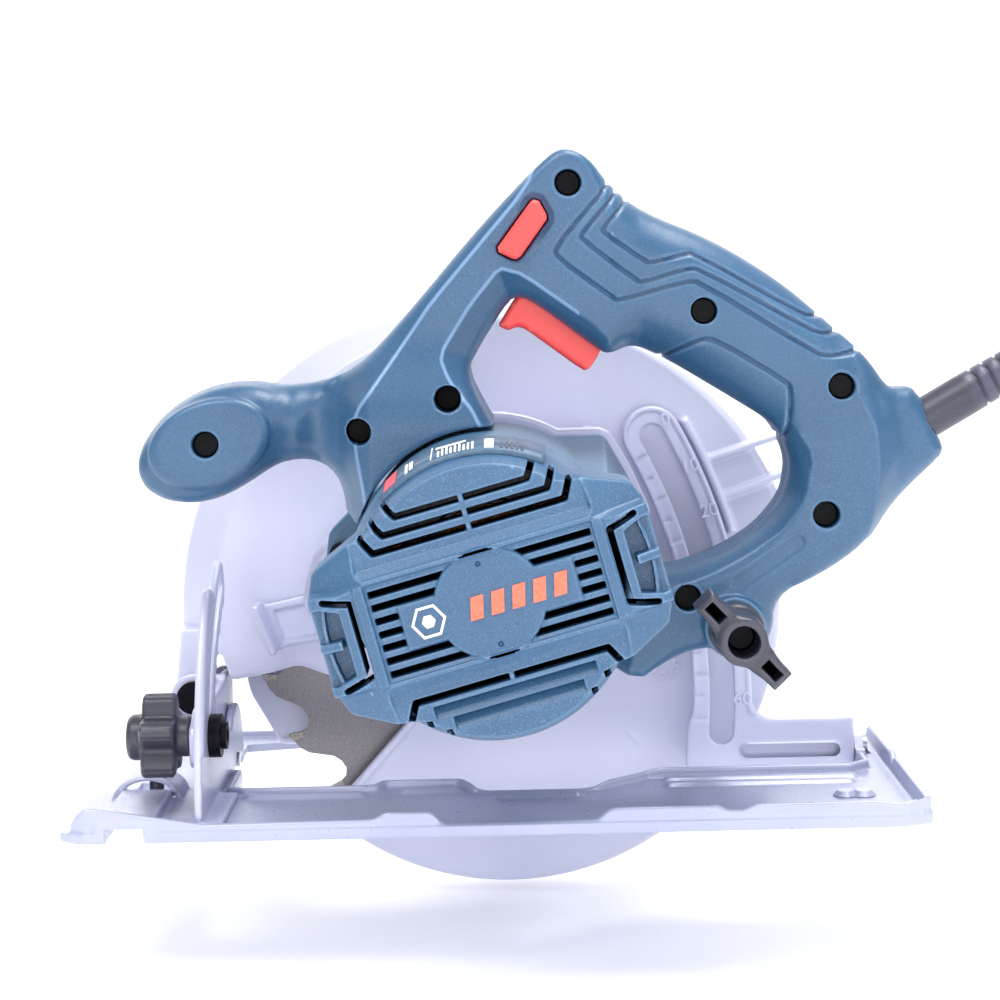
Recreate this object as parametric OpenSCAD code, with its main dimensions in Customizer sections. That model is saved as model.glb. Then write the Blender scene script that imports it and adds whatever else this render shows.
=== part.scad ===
// Hand-held circular saw: blade and guards, gear train, motor, clamshell handle
// and a base plate that tilts for bevels and pivots for depth.
// Origin: underside of the base, straight below the spindle, in the blade's plane.
// Front (cutting direction) is -X, the cord end +X. Near (motor side) is -Y, far +Y. Up is +Z.

/* [Blade] */
// Blade diameter over the tips
blade_d = 184; // [180:1:185]
// Number of teeth
blade_teeth = 24; // [18:2:40]
// Steel body thickness
blade_t = 1.8; // [1.4:0.1:2.0]
// Width of the carbide tips
kerf = 2.4; // [2.1:0.1:2.6]

/* [Guards] */
// Outer radius of the retracting lower guard
lower_guard_r = 98; // [97:0.5:99]
// Radius of the upper guard's face
upper_guard_r = 106; // [104:0.5:107]

/* [Gear train] */
// Gear module
gear_m = 1.1; // [1.1:0.1:1.1]
// Teeth on the spindle gear
gear_z = 41; // [41:1:41]
// Teeth cut on the motor shaft
pinion_z = 9; // [9:1:9]

/* [Motor] */
// Radius of the motor housing
can_r = 43; // [42:0.5:43.5]
// Tilt of the motor, its housing and end cap about the motor axis
motor_tilt = 15; // [13:1:17]

/* [Base plate] */
// Thickness of the base's floor
base_t = 3; // [2.4:0.2:3]
// Height of the upturned rear edge
rim_h = 9; // [8:0.5:10]

/* [Depth setting] */
// Radius of the depth slot about the front pivot
depth_r = 187; // [186.5:0.5:187.5]
// Width of the depth slot
depth_slot_w = 8.6; // [8.4:0.1:9]

/* [Hidden] */
$fn = 64;
gap = 0.02; // hairline between touching pieces
sides = [-1, 1];

steel = [0.62, 0.61, 0.60];
blade_steel = [0.55, 0.53, 0.51];
carbide = [0.4, 0.4, 0.42];
alu = [0.80, 0.81, 0.88];
blue = [0.33, 0.50, 0.62];
blue_light = [0.43, 0.61, 0.72];
black = [0.24, 0.22, 0.24];
carbon = [0.15, 0.15, 0.16];
label_dark = [0.2, 0.22, 0.26];
red = [1.0, 0.36, 0.32];
copper = [0.72, 0.42, 0.22];
brass = [0.75, 0.62, 0.3];

function polar(r, a) = [r * cos(a), r * sin(a)];

// Axes along Y, as (x, z)
spindle = [0, 57];
mesh_a = 97.6; // direction from the spindle to the motor
motor = spindle + gear_m * (gear_z + pinion_z) / 2 * polar(1, mesh_a);
depth_pivot = [-111.5, 28.5];
function depth_point(a) = depth_pivot + polar(depth_r, a);
depth_bolt = depth_point(10.8);

// Axes along X, as (y, z)
tilt_axis = [-12, 5];
function bevel_point(r, a) = tilt_axis + r * [-cos(a), sin(a)];
bevel_arm = 75.6;
bevel_a = 17.7; // bolt's angle with the saw upright
bevel_bolt = bevel_point(bevel_arm, bevel_a);

// ---- helpers ----
// (x, z) profile extruded along Y
module along_y(y0, y1)
  translate([0, y1, 0]) rotate([90, 0, 0]) linear_extrude(y1 - y0) children();
// (y, z) profile extruded along X
module along_x(x0, x1) translate([x0, 0, 0]) rotate([90, 0, 90]) linear_extrude(x1 - x0) children();
// cylinder along Y through (x, z)
module y_cyl(r, y0, y1, at, fn = 64)
  translate([at[0], y1, at[1]]) rotate([90, 0, 0]) cylinder(r = r, h = y1 - y0, $fn = fn);
// cylinder along X through (y, z)
module x_cyl(r, x0, x1, at)
  translate([x0, at[0], at[1]]) rotate([0, 90, 0]) cylinder(r = r, h = x1 - x0, $fn = 48);
module y_tube(outer_r, inner_r, y0, y1, at) difference() {
  y_cyl(outer_r, y0, y1, at);
  y_cyl(inner_r, y0 - 1, y1 + 1, at);
}
// the same cylinder at each of several points
module y_cyls(r, y0, y1, points) for (p = points) y_cyl(r, y0, y1, p);
// rounds outward corners, or inward ones when r is negative
module rounded(r, fn = 32) offset(r = r, $fn = fn) offset(delta = -r) children();
module ring(outer_r, inner_r) difference() {
  circle(outer_r, $fn = 96);
  circle(inner_r, $fn = 96);
}
module sector(r, a0, a1) polygon(concat(
  [[0, 0]],
  [for (i = [0:8]) polar(r / cos((a1 - a0) / 16), a0 + (a1 - a0) * i / 8)]));
// fine disc about the spindle
module spindle_disc(r) translate(spindle) circle(r, $fn = 128);
// the motor's own frame: first axis along the tilted width, second up
module motor_frame() translate(motor) rotate(motor_tilt) children();
module along_motor(y0, y1) along_y(y0, y1) motor_frame() children();
// (x, z) of points given in the motor's frame
function from_motor(points) = [for (q = points)
  motor + q[0] * polar(1, motor_tilt) + q[1] * [-sin(motor_tilt), cos(motor_tilt)]];

// ---- base ----
base_front = -142;
base_rear = 133.5;
base_near = -112;
base_far = 38;
rim_t = 2.8;
rivet_xs = [110, 116];
rivet_y = -80;
guide_x = -121; // centre of the rip-guide channel
guide_screw = [-119, -56];
tilt_pin_r = 2.48;
// (x, y) of the opening for blade and guards
opening = [
  [-97, -30], [-93, -30], [-93, -59], [-46, -59], [-43, -52], [-16, -52], [-10, -64],
  [27, -64], [48, -46], [121.8, -46], [121.8, 27], [-97, 27]];
// (x, z) of the near edge, low under the motor and notched under the depth bolt
near_rim = [
  [base_front, 0], [base_rear, 0], [base_rear, rim_h - 1], [base_rear - 1, rim_h],
  [123, 7.6], [116, 8.6], [77, 8.3], [74, 6.6], [68, 6.6], [65.5, 8.3], [32, 8.1],
  [27.5, 4.6], [-21, 4.3], [-24.5, 8.2], [-39, 8.2], [-42, 6.1], [-97, 5.6],
  [-131, 11.4], [-134, 11.4], [base_front, 2]];
// (y, z) of the rear edge with its V notch
rear_rim = [
  [base_near, 0], [base_near, rim_h], [-50, rim_h], [-44, 5], [-40, rim_h], [6, rim_h],
  [12, 4], [base_far - 6, 4], [base_far - 6, 0]];
// ends (x, y) of the stiffening beads along the opening
beads = [
  [[-40, -57.5], [-20, -57.5]], [[54, -52], [114, -52]],
  [[54, -60], [114, -60]], [[-6, -70], [23, -70]]];

module base_floor() linear_extrude(base_t) difference() {
  rounded(5) polygon([
    [base_front, base_near], [base_rear, base_near],
    [base_rear, base_far], [base_front + 2, base_far]]);
  rounded(3) polygon(opening);
}
module bead(ends) intersection() {
  hull() for (q = ends) translate([q[0], q[1], base_t - 0.5]) sphere(r = 3, $fn = 24);
  translate([-200, -200, 1]) cube([400, 400, 12]);
}
// half-round tunnel over the rip-guide channel
module guide_arch(rx, rz)
  polygon([for (i = [0:16]) [guide_x + rx * cos(i * 180 / 16), 2.6 + rz * sin(i * 180 / 16)]]);
module guide_tunnel() difference() {
  along_y(-64, -48) guide_arch(12, 8);
  along_y(-66, -46) guide_arch(10, 5.9);
}
module base_plate() color(alu) difference() {
  union() {
    base_floor();
    along_y(base_near, base_near + rim_t) polygon(near_rim);
    along_x(base_rear - rim_t, base_rear) polygon(rear_rim);
    for (ends = beads) bead(ends);
    guide_tunnel();
    // block at the far front corner
    translate([-134, 30, 0]) cube([10, 6, 7]);
  }
  // rip-guide channel through the near edge and under the tunnel
  translate([guide_x - 6, base_near - 1, -1]) cube([12, 40, 5.7]);
  translate([guide_x - 6, base_near + 38, -1]) cube([12, 32, 4.0]);
  // clearance for the front hinge plate as it tilts
  translate([-106.6, -26, -1]) cube([9.8, 30, base_t + 2]);
  // pocket under the rear tilt pin
  translate([120.5, -17, 0.8]) cube([7.9, 10, base_t + 2]);
  // guide screw hole
  translate([guide_screw[0], guide_screw[1], 3]) cylinder(r = 2.6, h = 20);
  for (x = rivet_xs) translate([x, rivet_y, -1]) cylinder(r = 2.05, h = 20);
}

// everything up to the top of the floor
module below_floor() translate([-200, -100]) square([400, 100 + base_t + gap]);

// (y, z) of the upright quadrant
quadrant = concat(
  [[-22, base_t + gap], [-108, base_t + gap]],
  [for (a = [16:6:64]) bevel_point(96, a)],
  [bevel_point(80, 66)],
  [for (a = [64:-6:22]) bevel_point(62, a)],
  [[-44, 17], [-26, 20]]);
bevel_slot_half_w = 3.6;
bevel_slot_over = 3.1; // slot's overrun past each end of the 45 degree travel

// quadrant with the bevel slot and the rounded ear of the front tilt axis
module bevel_quadrant() color(alu) difference() {
  union() {
    along_x(-99.5, -96.9) difference() {
      union() {
        rounded(3) polygon(quadrant);
        translate(tilt_axis) circle(20);
      }
      below_floor();
    }
    // foot on the floor
    translate([-99.5, -108, base_t + gap]) cube([9, 44, 2]);
  }
  along_x(-110, -90) intersection() {
    translate(tilt_axis) ring(bevel_arm + bevel_slot_half_w, bevel_arm - bevel_slot_half_w);
    translate(tilt_axis) mirror([1, 0])
      sector(100, bevel_a - bevel_slot_over, bevel_a + 45 + bevel_slot_over);
  }
  x_cyl(2.5, -110, -90, tilt_axis);
}
// ear at the rear end of the tilt axis
module rear_pivot_lug() color(alu) difference() {
  along_x(122.1, 125.1) difference() {
    union() {
      translate(tilt_axis) circle(9);
      translate([tilt_axis[0] - 13, base_t + gap]) square([26, 3]);
    }
    below_floor();
  }
  x_cyl(2.5, 110, 130, tilt_axis);
}
module base_rivets() color(steel) for (x = rivet_xs) translate([x, rivet_y, 0.2]) {
  cylinder(r = 2, h = 4);
  translate([0, 0, 3]) cylinder(r1 = 4, r2 = 2.6, h = 1.6);
}
module front_tilt_pin() color(steel) {
  x_cyl(tilt_pin_r, -104.8, -96, tilt_axis);
  x_cyl(4, -105.6, -103.2, tilt_axis);
}
module rear_tilt_pin() color(steel) {
  x_cyl(tilt_pin_r, 117, 126, tilt_axis);
  x_cyl(4, 115.9, 118.2, tilt_axis);
  x_cyl(3.8, 125.3, 127.4, tilt_axis);
}
// thumbscrew that holds the rip guide
module guide_lock_screw() color(black) translate([guide_screw[0], guide_screw[1], 0]) {
  translate([0, 0, 4.4]) cylinder(r = 2.55, h = 9);
  translate([0, 0, 11.4]) cylinder(r = 5, h = 4.4);
  along_y(-1.6, 1.6) rounded(2, 24) polygon([
    [-5, 14], [5, 14], [8, 20], [8, 30], [3, 31], [0, 24], [-3, 31], [-8, 30], [-8, 20]]);
}

// ---- tilting frame ----
pivot_bore_r = 4.05;
tilt_bore_r = tilt_pin_r + 0.05;
tilt_ear_r = 4.9;
bevel_bolt_r = 3.5;
// (y, z) of the plate across the front
hinge_plate = [
  [-16.5, 2.2], [-7.5, 6], [-2, 14], [5, 19], [5, 34], [-6, 36], [-20, 34], [-60, 34],
  [-80, 37], [-93, 31], [-91, 19], [-80, 17], [-40, 14], [-22, 10]];
// (x, z) joining each pivot cheek to the plate
hinge_cheek = [
  [-119, 20], [-119.5, 28], [-104, 36], [-100, 36], [-100, 19.4], [-116, 19.4]];

module hinge_bracket() color(alu) difference() {
  union() {
    along_x(-102.8, -100) {
      translate(tilt_axis) circle(tilt_ear_r);
      rounded(3) polygon(hinge_plate);
    }
    // cheeks of the depth pivot and the web between them
    for (span = [[-17, -13.1], [1.1, 5]]) along_y(span[0], span[1]) {
      translate(depth_pivot) circle(8);
      polygon(hinge_cheek);
    }
    translate([-119.2, -17, 19.4]) cube([19.2, 22, 2.0]);
  }
  y_cyl(pivot_bore_r, -30, 20, depth_pivot);
  x_cyl(tilt_bore_r, -110, -90, tilt_axis);
  x_cyl(bevel_bolt_r + 0.05, -110, -90, bevel_bolt);
}

arc_half_w = 10.4;
arc_a = [-8.6, 28.6]; // ends of the curved plate
slot_a = [-4.7, 28.5]; // ends of the depth slot
// band of the given half width about the front pivot
module depth_arc(half_w, a0, a1) intersection() {
  translate(depth_pivot) ring(depth_r + half_w, depth_r - half_w);
  translate(depth_pivot) sector(210, a0, a1);
}
module depth_bracket() color(alu) {
  along_y(-24, -21) difference() {
    union() {
      depth_arc(arc_half_w, arc_a[0], arc_a[1]);
      translate(depth_point(arc_a[1])) circle(arc_half_w);
      // foot, filleted into the arc
      rounded(-7) union() {
        depth_arc(arc_half_w, arc_a[0], 12);
        rounded(2, 24) polygon([[66, 1], [121.6, 1], [121.6, 17.5], [84, 17.5], [66, 17.5]]);
      }
    }
    depth_arc(depth_slot_w / 2, slot_a[0], slot_a[1]);
    for (a = slot_a) translate(depth_point(a)) circle(depth_slot_w / 2);
  }
  // pressed bead of the foot
  intersection() {
    hull() for (x = [84, 114]) translate([x, -23.6, 6.5]) sphere(r = 2.9, $fn = 24);
    translate([0, -30, 0]) cube([200, 6.5, 20]);
  }
  // foot end turned towards the blade side, with the rear tilt ear
  difference() {
    union() {
      translate([118.6, -24, 1]) cube([3, 5, 16.5]);
      along_x(118.6, 121.6) {
        translate(tilt_axis) circle(tilt_ear_r);
        polygon([[-21, 3], [-15, 1.5], [-7.5, 5], [-8, 12], [-12, 16], [-21, 17.5]]);
      }
    }
    x_cyl(tilt_bore_r, 110, 130, tilt_axis);
  }
}
module depth_pivot_pin() color(steel) {
  y_cyl(4, -18.6, 6.6, depth_pivot);
  y_cyl(5.6, -20.2, -17.1, depth_pivot);
  y_cyl(5.6, 5.1, 7.2, depth_pivot);
}
module bevel_lock_bolt() color(black) difference() {
  union() {
    x_cyl(bevel_bolt_r, -117, -96.8, bevel_bolt);
    x_cyl(7, -96.8, -93, bevel_bolt);
    x_cyl(4.4, -93.2, -91.2, bevel_bolt);
  }
  x_cyl(2.2, -92.2, -90, bevel_bolt);
}
// five-lobed knob
module bevel_lock_knob() color(black) difference() {
  union() {
    along_x(-118.5, -107) translate(bevel_bolt) {
      circle(10);
      for (k = [0:4]) rotate(k * 72 + 18) translate([0, 9.2]) circle(5.2);
    }
    x_cyl(6.5, -107.4, -103.1, bevel_bolt);
  }
  x_cyl(bevel_bolt_r + 0.04, -130, -90, bevel_bolt);
}

// ---- upper guard ----
guard_near_y = -17;
guard_far_y = 16;
guard_wall = 2.4;
guard_inner_r = 100.4;
// (x, z) limits: arched front, clear of the spindle, rising to the rear
guard_limits = [
  [-135, 44.5], [-104, 43.5], [-96.5, 41], [-87, 36.5], [-75, 38.4], [-62, 35.5],
  [-40, 33], [-24, 34], [-16, 32.5], [16, 32.5], [40, 44], [66, 76], [120, 82],
  [140, 200], [-140, 200]];
// (x, z) of the far wall's lower part, ahead of the spindle
guard_apron = [
  [-99, 46], [-95, 24], [-88, 12], [-84, 4.6], [-52, 4.6], [-38, 20], [-28, 46]];
// (x, z) of the front lug, joining the depth pivot to the rim
guard_lug = [
  [-118.3, 30], [-116, 52], [-101, 52], [-101.5, 44.2], [-107.5, 37], [-107.5, 30]];

// bulge that grows from the top towards the front
module guard_bulge(d) offset(delta = d) polygon([for (a = [88:6:200])
  spindle + polar(104 + 13 * sin(min(1, (a - 88) / 62) * 90), a)]);
module guard_face() {
  spindle_disc(upper_guard_r);
  guard_bulge(0);
}
module upper_guard() color(alu) difference() {
  union() {
    // near wall
    difference() {
      along_y(guard_near_y, guard_near_y + guard_wall) intersection() {
        spindle_disc(upper_guard_r);
        polygon(guard_limits);
      }
      y_cyl(12, -20, -10, depth_bolt);
    }
    // far wall and its apron
    along_y(guard_far_y - guard_wall, guard_far_y) intersection() {
      guard_face();
      polygon(guard_limits);
    }
    along_y(guard_far_y - guard_wall, guard_far_y) intersection() {
      spindle_disc(104);
      polygon(guard_apron);
    }
    // rim between the walls
    along_y(-15, 14) intersection() {
      difference() {
        guard_face();
        spindle_disc(guard_inner_r);
        guard_bulge(-2.6);
      }
      polygon(guard_limits);
    }
    // chip outlet ribs
    for (z = [101, 114])
      translate([0, 0, z]) rotate([0, -16, 0]) translate([70, -19, -24]) cube([30, 2.5, 2]);
    // front lug of the depth pivot
    along_y(-13, 1) difference() {
      union() {
        translate(depth_pivot) circle(6.8);
        polygon(guard_lug);
      }
      spindle_disc(guard_inner_r);
    }
    // boss that carries the spindle bearing and the lower guard
    y_cyl(22, guard_near_y, -7.6, spindle);
  }
  y_cyl(16.02, -30, -9.2, spindle);
  y_cyl(13, -30, 0, spindle);
  y_cyl(pivot_bore_r, -30, 20, depth_pivot);
}

// ---- gear case ----
case_y = -45; // near face
hub_r = 25.6;
case_screw_r = 2;
case_bore_r = case_screw_r + 0.06;
// (x, z) outline
case_body = [
  [-69, 62], [-69.5, 68], [-65, 83], [-53, 92], [-22, 112], [-8, 115.5], [13, 114],
  [26, 118], [36, 113], [38, 101], [42, 84], [42, 60], [36, 42], [20, 36], [-20, 36],
  [-34, 44], [-60, 52]];
case_points = [[-58, 74], [-14, 104], [27, 97], [35, 49]]; // screws, (x, z)
ears = [[-50, 12], [41, 22], [47.2, -14], [-48, -18]]; // housing screws, motor frame
ear_points = from_motor(ears);

module case_outline() {
  rounded(4) polygon(case_body);
  translate(spindle) circle(hub_r);
  motor_frame() for (q = ears) translate(q) circle(6);
}
module gear_case() color(alu) difference() {
  union() {
    along_y(case_y, -20.4) case_outline();
    // hub that the guard lever turns on, and the bolting pads against the guard
    y_cyl(hub_r, -21, -17.1, spindle);
    y_cyls(4.2, -21, -17.1, case_points);
  }
  // gear and pinion room
  y_cyl(23.9, -33, -17, spindle);
  y_cyl(8.4, -34.2, -21, motor);
  // bearing seats of spindle and armature
  y_cyl(11.02, -42, -32, spindle);
  y_cyl(6, -46, -40, spindle);
  y_cyl(14.02, -46, -36, motor);
  y_cyl(9, -46, -30, motor);
  y_cyls(case_bore_r, -46, -16, case_points);
  y_cyls(case_bore_r, -46, -37, ear_points);
}
module case_screws() color(steel) y_cyls(case_screw_r, -43, -17.3, case_points);
module guard_retainer() color(steel) y_tube(25, 13.2, -7.5, -6, spindle);
// ring with a gap at its lower rear
module guard_return_spring() color(steel) difference() {
  y_tube(24.1, 22.3, -14.3, -12.9, spindle);
  translate([20, -20, 40]) cube([10, 20, 10]);
}
// outer rings of the spindle and armature bearings
module bearing_races() color(steel) {
  y_tube(16, 13.2, -17.2, -9.3, spindle);
  y_tube(11, 8.8, -41.6, -34.6, spindle);
  y_tube(14, 11, case_y, -36.6, motor);
  y_tube(8, 6.2, -167.5, -161.5, motor);
}

// ---- motor ----
housing_y = case_y - 0.1; // far face of the housing
ear_seat_y = -56;
stator_y = [-120, -80];
// flange against the gear case, motor frame
flange = [
  [-57, 8], [-52, 20], [-34, 30], [30, 32], [47, 28], [53, 12], [53, -16], [46, -23],
  [20, -30], [-30, -30], [-50, -22], [-56, -10]];

module motor_housing() color(blue) difference() {
  union() {
    y_cyl(can_r, -140.9, housing_y, motor, 128);
    along_motor(ear_seat_y, housing_y) rounded(3) polygon(flange);
  }
  y_cyl(can_r - 2.6, -142, -58, motor, 128);
  y_cyl(34, -60, -54, motor);
  y_cyls(4.1, -70, ear_seat_y, ear_points);
  y_cyl(30, -56, -51.2, motor);
  y_cyl(14.1, -60, -40, motor);
  y_cyls(case_bore_r, -60, -40, ear_points);
}
module housing_screws() color(steel) {
  y_cyls(case_screw_r, -57, -38, ear_points);
  y_cyls(3.8, -58.6, ear_seat_y - 0.05, ear_points);
}
// one side's part of a ring about the motor axis
module ring_side(side, outer_r, inner_r, size) intersection() {
  ring(outer_r, inner_r);
  translate([side * 34, 0]) square(size, center = true);
}
module stator_core() color(steel) difference() {
  y_cyl(40.3, stator_y[0], stator_y[1], motor);
  y_cyl(23, stator_y[0] - 1, stator_y[1] + 1, motor);
  for (s = sides)
    along_motor(stator_y[0] - 1, stator_y[1] + 1) ring_side(s, 34, 22.9, [34, 34]);
}
module stator_windings() color(copper)
  for (s = sides) along_motor(-128, -72) ring_side(s, 33.6, 24, [32, 33]);
module air_baffle() color(black) y_tube(40.2, 29, -70, -68, motor);
module brush_holders() color(brass) along_motor(-158, -148) for (s = sides) difference() {
  translate([s * 26.75, 0]) square([26.5, 12], center = true);
  translate([s * 23.5, 0]) square([24, 8.06], center = true);
}
module carbon_brushes() color(carbon)
  along_motor(-156, -150) for (s = sides) translate([s * 18.2, 0]) square([10, 8], center = true);
module brush_springs() color(steel)
  along_motor(-155, -151) for (s = sides) translate([s * 28.5, 0]) difference() {
    circle(3.8);
    circle(2.4);
  }

// ---- end cap, in the motor's frame ----
panel_y = -188; // near face
cap_sides = [
  [-50, -14], [-47, -21], [-31, -27], [31, -27], [47, -21], [50, -14],
  [50, 14], [47, 21], [31, 27], [-31, 27], [-47, 21], [-50, 14]];
panel = [
  [-36, -17], [-30, -20], [30, -20], [36, -17], [36, 17], [30, 20], [-30, 20], [-36, 17]];
cap_points = from_motor([[-38, 21], [38, 21], [38, -21], [-38, -21]]);
vent_outer = 32.5;
vent_inner = [25.5, 25.5, 14.5, 12]; // slots' inner ends, from the middle row outwards

module cap_block(inset) offset(delta = -inset) polygon(cap_sides);
module cap_outline(inset) {
  offset(delta = -inset) circle(can_r, $fn = 96);
  cap_block(inset);
}
module panel_vents() for (s = sides) for (row = [-3:3]) along_motor(-190, -184)
  let (inner = vent_inner[abs(row)])
    translate([s * (inner + vent_outer) / 2, row * 3.87])
      square([vent_outer - inner, 2.1], center = true);
// slots above and below the panel, shorter away from it
module outer_vents() for (s = sides) for (k = [0:2]) for (h = sides) along_motor(-190, -170)
  translate([h * (14.6 - k * 2.1), s * (22.6 + k * 4.2)])
    square([26 - k * 4.2, 2], center = true);
// rectangular grooves at the two sides
module side_scoops() for (s = sides) along_motor(-190, -172) difference() {
  translate([s * 46, 0]) square([16, 27], center = true);
  translate([s * 46, 0]) square([12.6, 21], center = true);
}
module motor_cap() color(blue_light) difference() {
  union() {
    along_motor(-168, -141) cap_outline(0);
    along_motor(-181, -167.9) {
      circle(39.5, $fn = 96);
      cap_block(3);
    }
    along_motor(panel_y, -180.9) rounded(2, 24) polygon(panel);
  }
  // hollow, leaving the bearing post
  along_motor(-165, -140) cap_outline(2.8);
  difference() {
    along_motor(-178, -160) {
      circle(36, $fn = 96);
      cap_block(6.5);
    }
    y_cyl(10, -190, -162, motor);
  }
  y_cyl(8.02, -167.6, -150, motor);
  difference() {
    along_motor(-185.4, -175) square([64, 32], center = true);
    y_cyl(10, -190, -160, motor);
  }
  panel_vents();
  outer_vents();
  y_cyls(1.94, -200, -170, cap_points);
  side_scoops();
}
module cap_screws() color(steel) y_cyls(1.9, -182.6, -178.2, cap_points);
// blank rating plate on top of the cap
module rating_label() color(label_dark) along_motor(-160, -143) intersection() {
  ring(can_r + 0.45, can_r + 0.03);
  polygon([[0, 0], [-40, 72], [40, 72]]);
}
// plain slanted bars on the panel
module badge_inlay() color(red) along_motor(panel_y - 0.6, panel_y - gap) for (k = [0:4])
  translate([-6.6 + k * 6.1, -3.2]) polygon([[0, 0], [3.7, 0], [5.4, 6.2], [1.7, 6.2]]);

// ---- handle ----
handle_y = -88; // parting plane of the two shells
screw_r = 1.3;
clamp_r = 3.9; // depth clamp bolt
clamp_bore_r = 4.3;
cord_r = 4;
guard_r = 6.8; // cord guard
// (x, z) of the outside
handle_outer = [
  [-116, 118], [-113, 127], [-105, 135], [-95, 140.5], [-82, 142.5], [-69, 141.8],
  [-56, 143], [-44, 148.5], [-30, 163], [-5, 192], [15, 212], [21.5, 216.2],
  [29.5, 213], [36, 204], [47, 195], [69, 186], [90, 172.5], [116, 148.5], [124, 137],
  [132.5, 137], [136.5, 131.5], [142.4, 117.3], [121, 96], [114, 87], [101, 78.4],
  [86, 72], [85, 58], [76, 53], [66, 56.5], [53, 53.5], [38, 44], [-3.6, 84],
  [-49, 96], [-51, 112], [-59, 118], [-72, 117.5], [-91, 107], [-106, 106],
  [-113.5, 110.5]];
// (x, z) of the hand opening
handle_inner = [
  [0, 124], [-10.6, 145], [-6, 153.5], [3.5, 168], [9.2, 168.8], [32.2, 151], [35, 150],
  [43, 152.8], [53, 148.2], [78, 132.6], [88, 126], [92.7, 114], [90, 102.5],
  [81.5, 92.5], [70, 85.5], [52, 79.5], [48, 84], [30, 115]];
// (x, z) of the neck ahead of the hand opening, wider along Y than the grip
neck = [[-60, 80], [-60, 117], [-46, 140], [-12, 143], [4, 124], [10, 80]];
screw_points = [
  [22.9, 204.6], [65.1, 163.1], [108.2, 138.3], [102.3, 97.9], [58, 72.6],
  [-16.4, 137.4], [-44.6, 127.7], [-93.6, 124.2]];

// handle outline, set in by inset on every side
module handle_outline(inset) difference() {
  offset(r = 3 - inset, $fn = 32) offset(delta = -3) polygon(handle_outer);
  offset(r = 2.5 + inset, $fn = 32) offset(delta = -2.5) polygon(handle_inner);
  translate(motor) circle(can_r + 0.8 + inset, $fn = 96);
}
module neck_block(y0, y1) along_y(y0, y1) intersection() {
  handle_outline(0.6);
  polygon(neck);
}
// hollow that leaves bosses round the screws and the clamp bolt
module handle_cavity(y0, y1) difference() {
  along_y(y0, y1) handle_outline(2.6);
  y_cyls(4.6, y0 - 1, y1 + 1, screw_points);
  y_cyl(7.4, y0 - 1, y1 + 1, depth_bolt);
}
// frames of the trigger and the lock-off button, and of the cord at the handle's rear end
module at_trigger() translate([7, 161]) rotate(-35) children();
module at_button() translate([9, 189.6]) rotate(-37) children();
module at_cord() translate([138.5, handle_y, 127]) rotate([0, 60.6, 0]) children();
// cylinder along the cord
module cord_cyl(r, z, h) at_cord() translate([0, 0, z]) cylinder(r = r, h = h);
module across_handle(half_w) along_y(handle_y - half_w, handle_y + half_w) children();
module trigger_slot(y0, y1)
  along_y(y0, y1) at_trigger() translate([-7.5, -9.6]) square([34.5, 26.2]);
module button_and_cord_cuts() {
  along_y(-130, -40) at_button() square([8.2, 17.8], center = true);
  cord_cyl(6.9, -16, 40);
}
module handle_shell_near() color(blue) difference() {
  union() {
    along_y(-107.6, handle_y - gap) handle_outline(0);
    neck_block(-125, -107);
    y_cyl(9, -112, handle_y - gap, depth_bolt);
  }
  handle_cavity(-105, -87);
  y_cyls(4.2, -130, -100, screw_points);
  y_cyls(1.9, -130, -80, screw_points);
  y_cyl(clamp_bore_r, -130, -80, depth_bolt);
  trigger_slot(-99, -87);
  button_and_cord_cuts();
}
module handle_shell_far() color(blue) difference() {
  union() {
    along_y(handle_y + gap, -68.4) handle_outline(0);
    neck_block(-69, -57.2);
    y_cyl(9, -88, -27.2, depth_bolt);
  }
  handle_cavity(-89, -71);
  y_cyls(screw_r + 0.05, -89, -72, screw_points);
  y_cyl(clamp_bore_r, -130, -20, depth_bolt);
  trigger_slot(-89, -77);
  button_and_cord_cuts();
}
module handle_screws() color(black) {
  y_cyls(screw_r, -101, -74, screw_points);
  y_cyls(3.6, -103.4, -100.05, screw_points);
}
module switch_module() color(black) difference() {
  across_handle(10) at_trigger() translate([9, 27]) square([18, 18], center = true);
  across_handle(12) at_button() square([9.4, 19.4], center = true);
}
module cord_clamp() color(black) difference() {
  at_cord() translate([-8, -8.5, -27]) cube([16, 17, 7]);
  cord_cyl(4.6, -40, 60);
}
module cord_guard() color(black) difference() {
  union() {
    cord_cyl(guard_r, -14, 34);
    at_cord() translate([0, 0, 19.9]) cylinder(r1 = guard_r, r2 = 6.0, h = 20);
  }
  cord_cyl(cord_r + 0.03, -40, 100);
}
module power_cord() color(black) cord_cyl(cord_r, -30, 96);
module depth_clamp_bolt() color(steel) {
  y_cyl(clamp_r, -127, -17.6, depth_bolt);
  y_cyl(9.5, -20.9, -17.2, depth_bolt, 6);
}
module depth_clamp_washer() color(steel) y_tube(6.4, clamp_r + 0.05, -26.9, -24.1, depth_bolt);
// tapering wing of the lever
module lever_wing() hull() {
  translate([5, 4, 0]) rotate([90, 0, 0]) cylinder(r = 5.6, h = 10, $fn = 32);
  translate([15.5, 2, 0]) rotate([90, 0, 0]) cylinder(r = 3.4, h = 12, $fn = 32);
}
module depth_lock_lever() color(black) difference() {
  union() {
    y_cyl(7.6, -140, -113, depth_bolt);
    for (turn = [0, 180])
      translate([depth_bolt[0], -126, depth_bolt[1]]) rotate([0, 47 + turn, 0]) lever_wing();
  }
  y_cyl(clamp_r + 0.05, -127.2, -100, depth_bolt);
  y_cyl(4.4, -150, -132, depth_bolt);
}

// trigger outline in its own frame
trigger_side = [
  [-3.6, 11], [-3.6, 6], [-6, 5], [-5.6, -5.4], [-1.5, -5], [2.7, -1.6], [25.8, -2.2],
  [27, 0], [26.2, 11]];
module trigger() color(red) difference() {
  across_handle(8.5) at_trigger() rounded(1.5, 24) polygon(trigger_side);
  spring_cyl(3.8, 2, 12);
}
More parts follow.
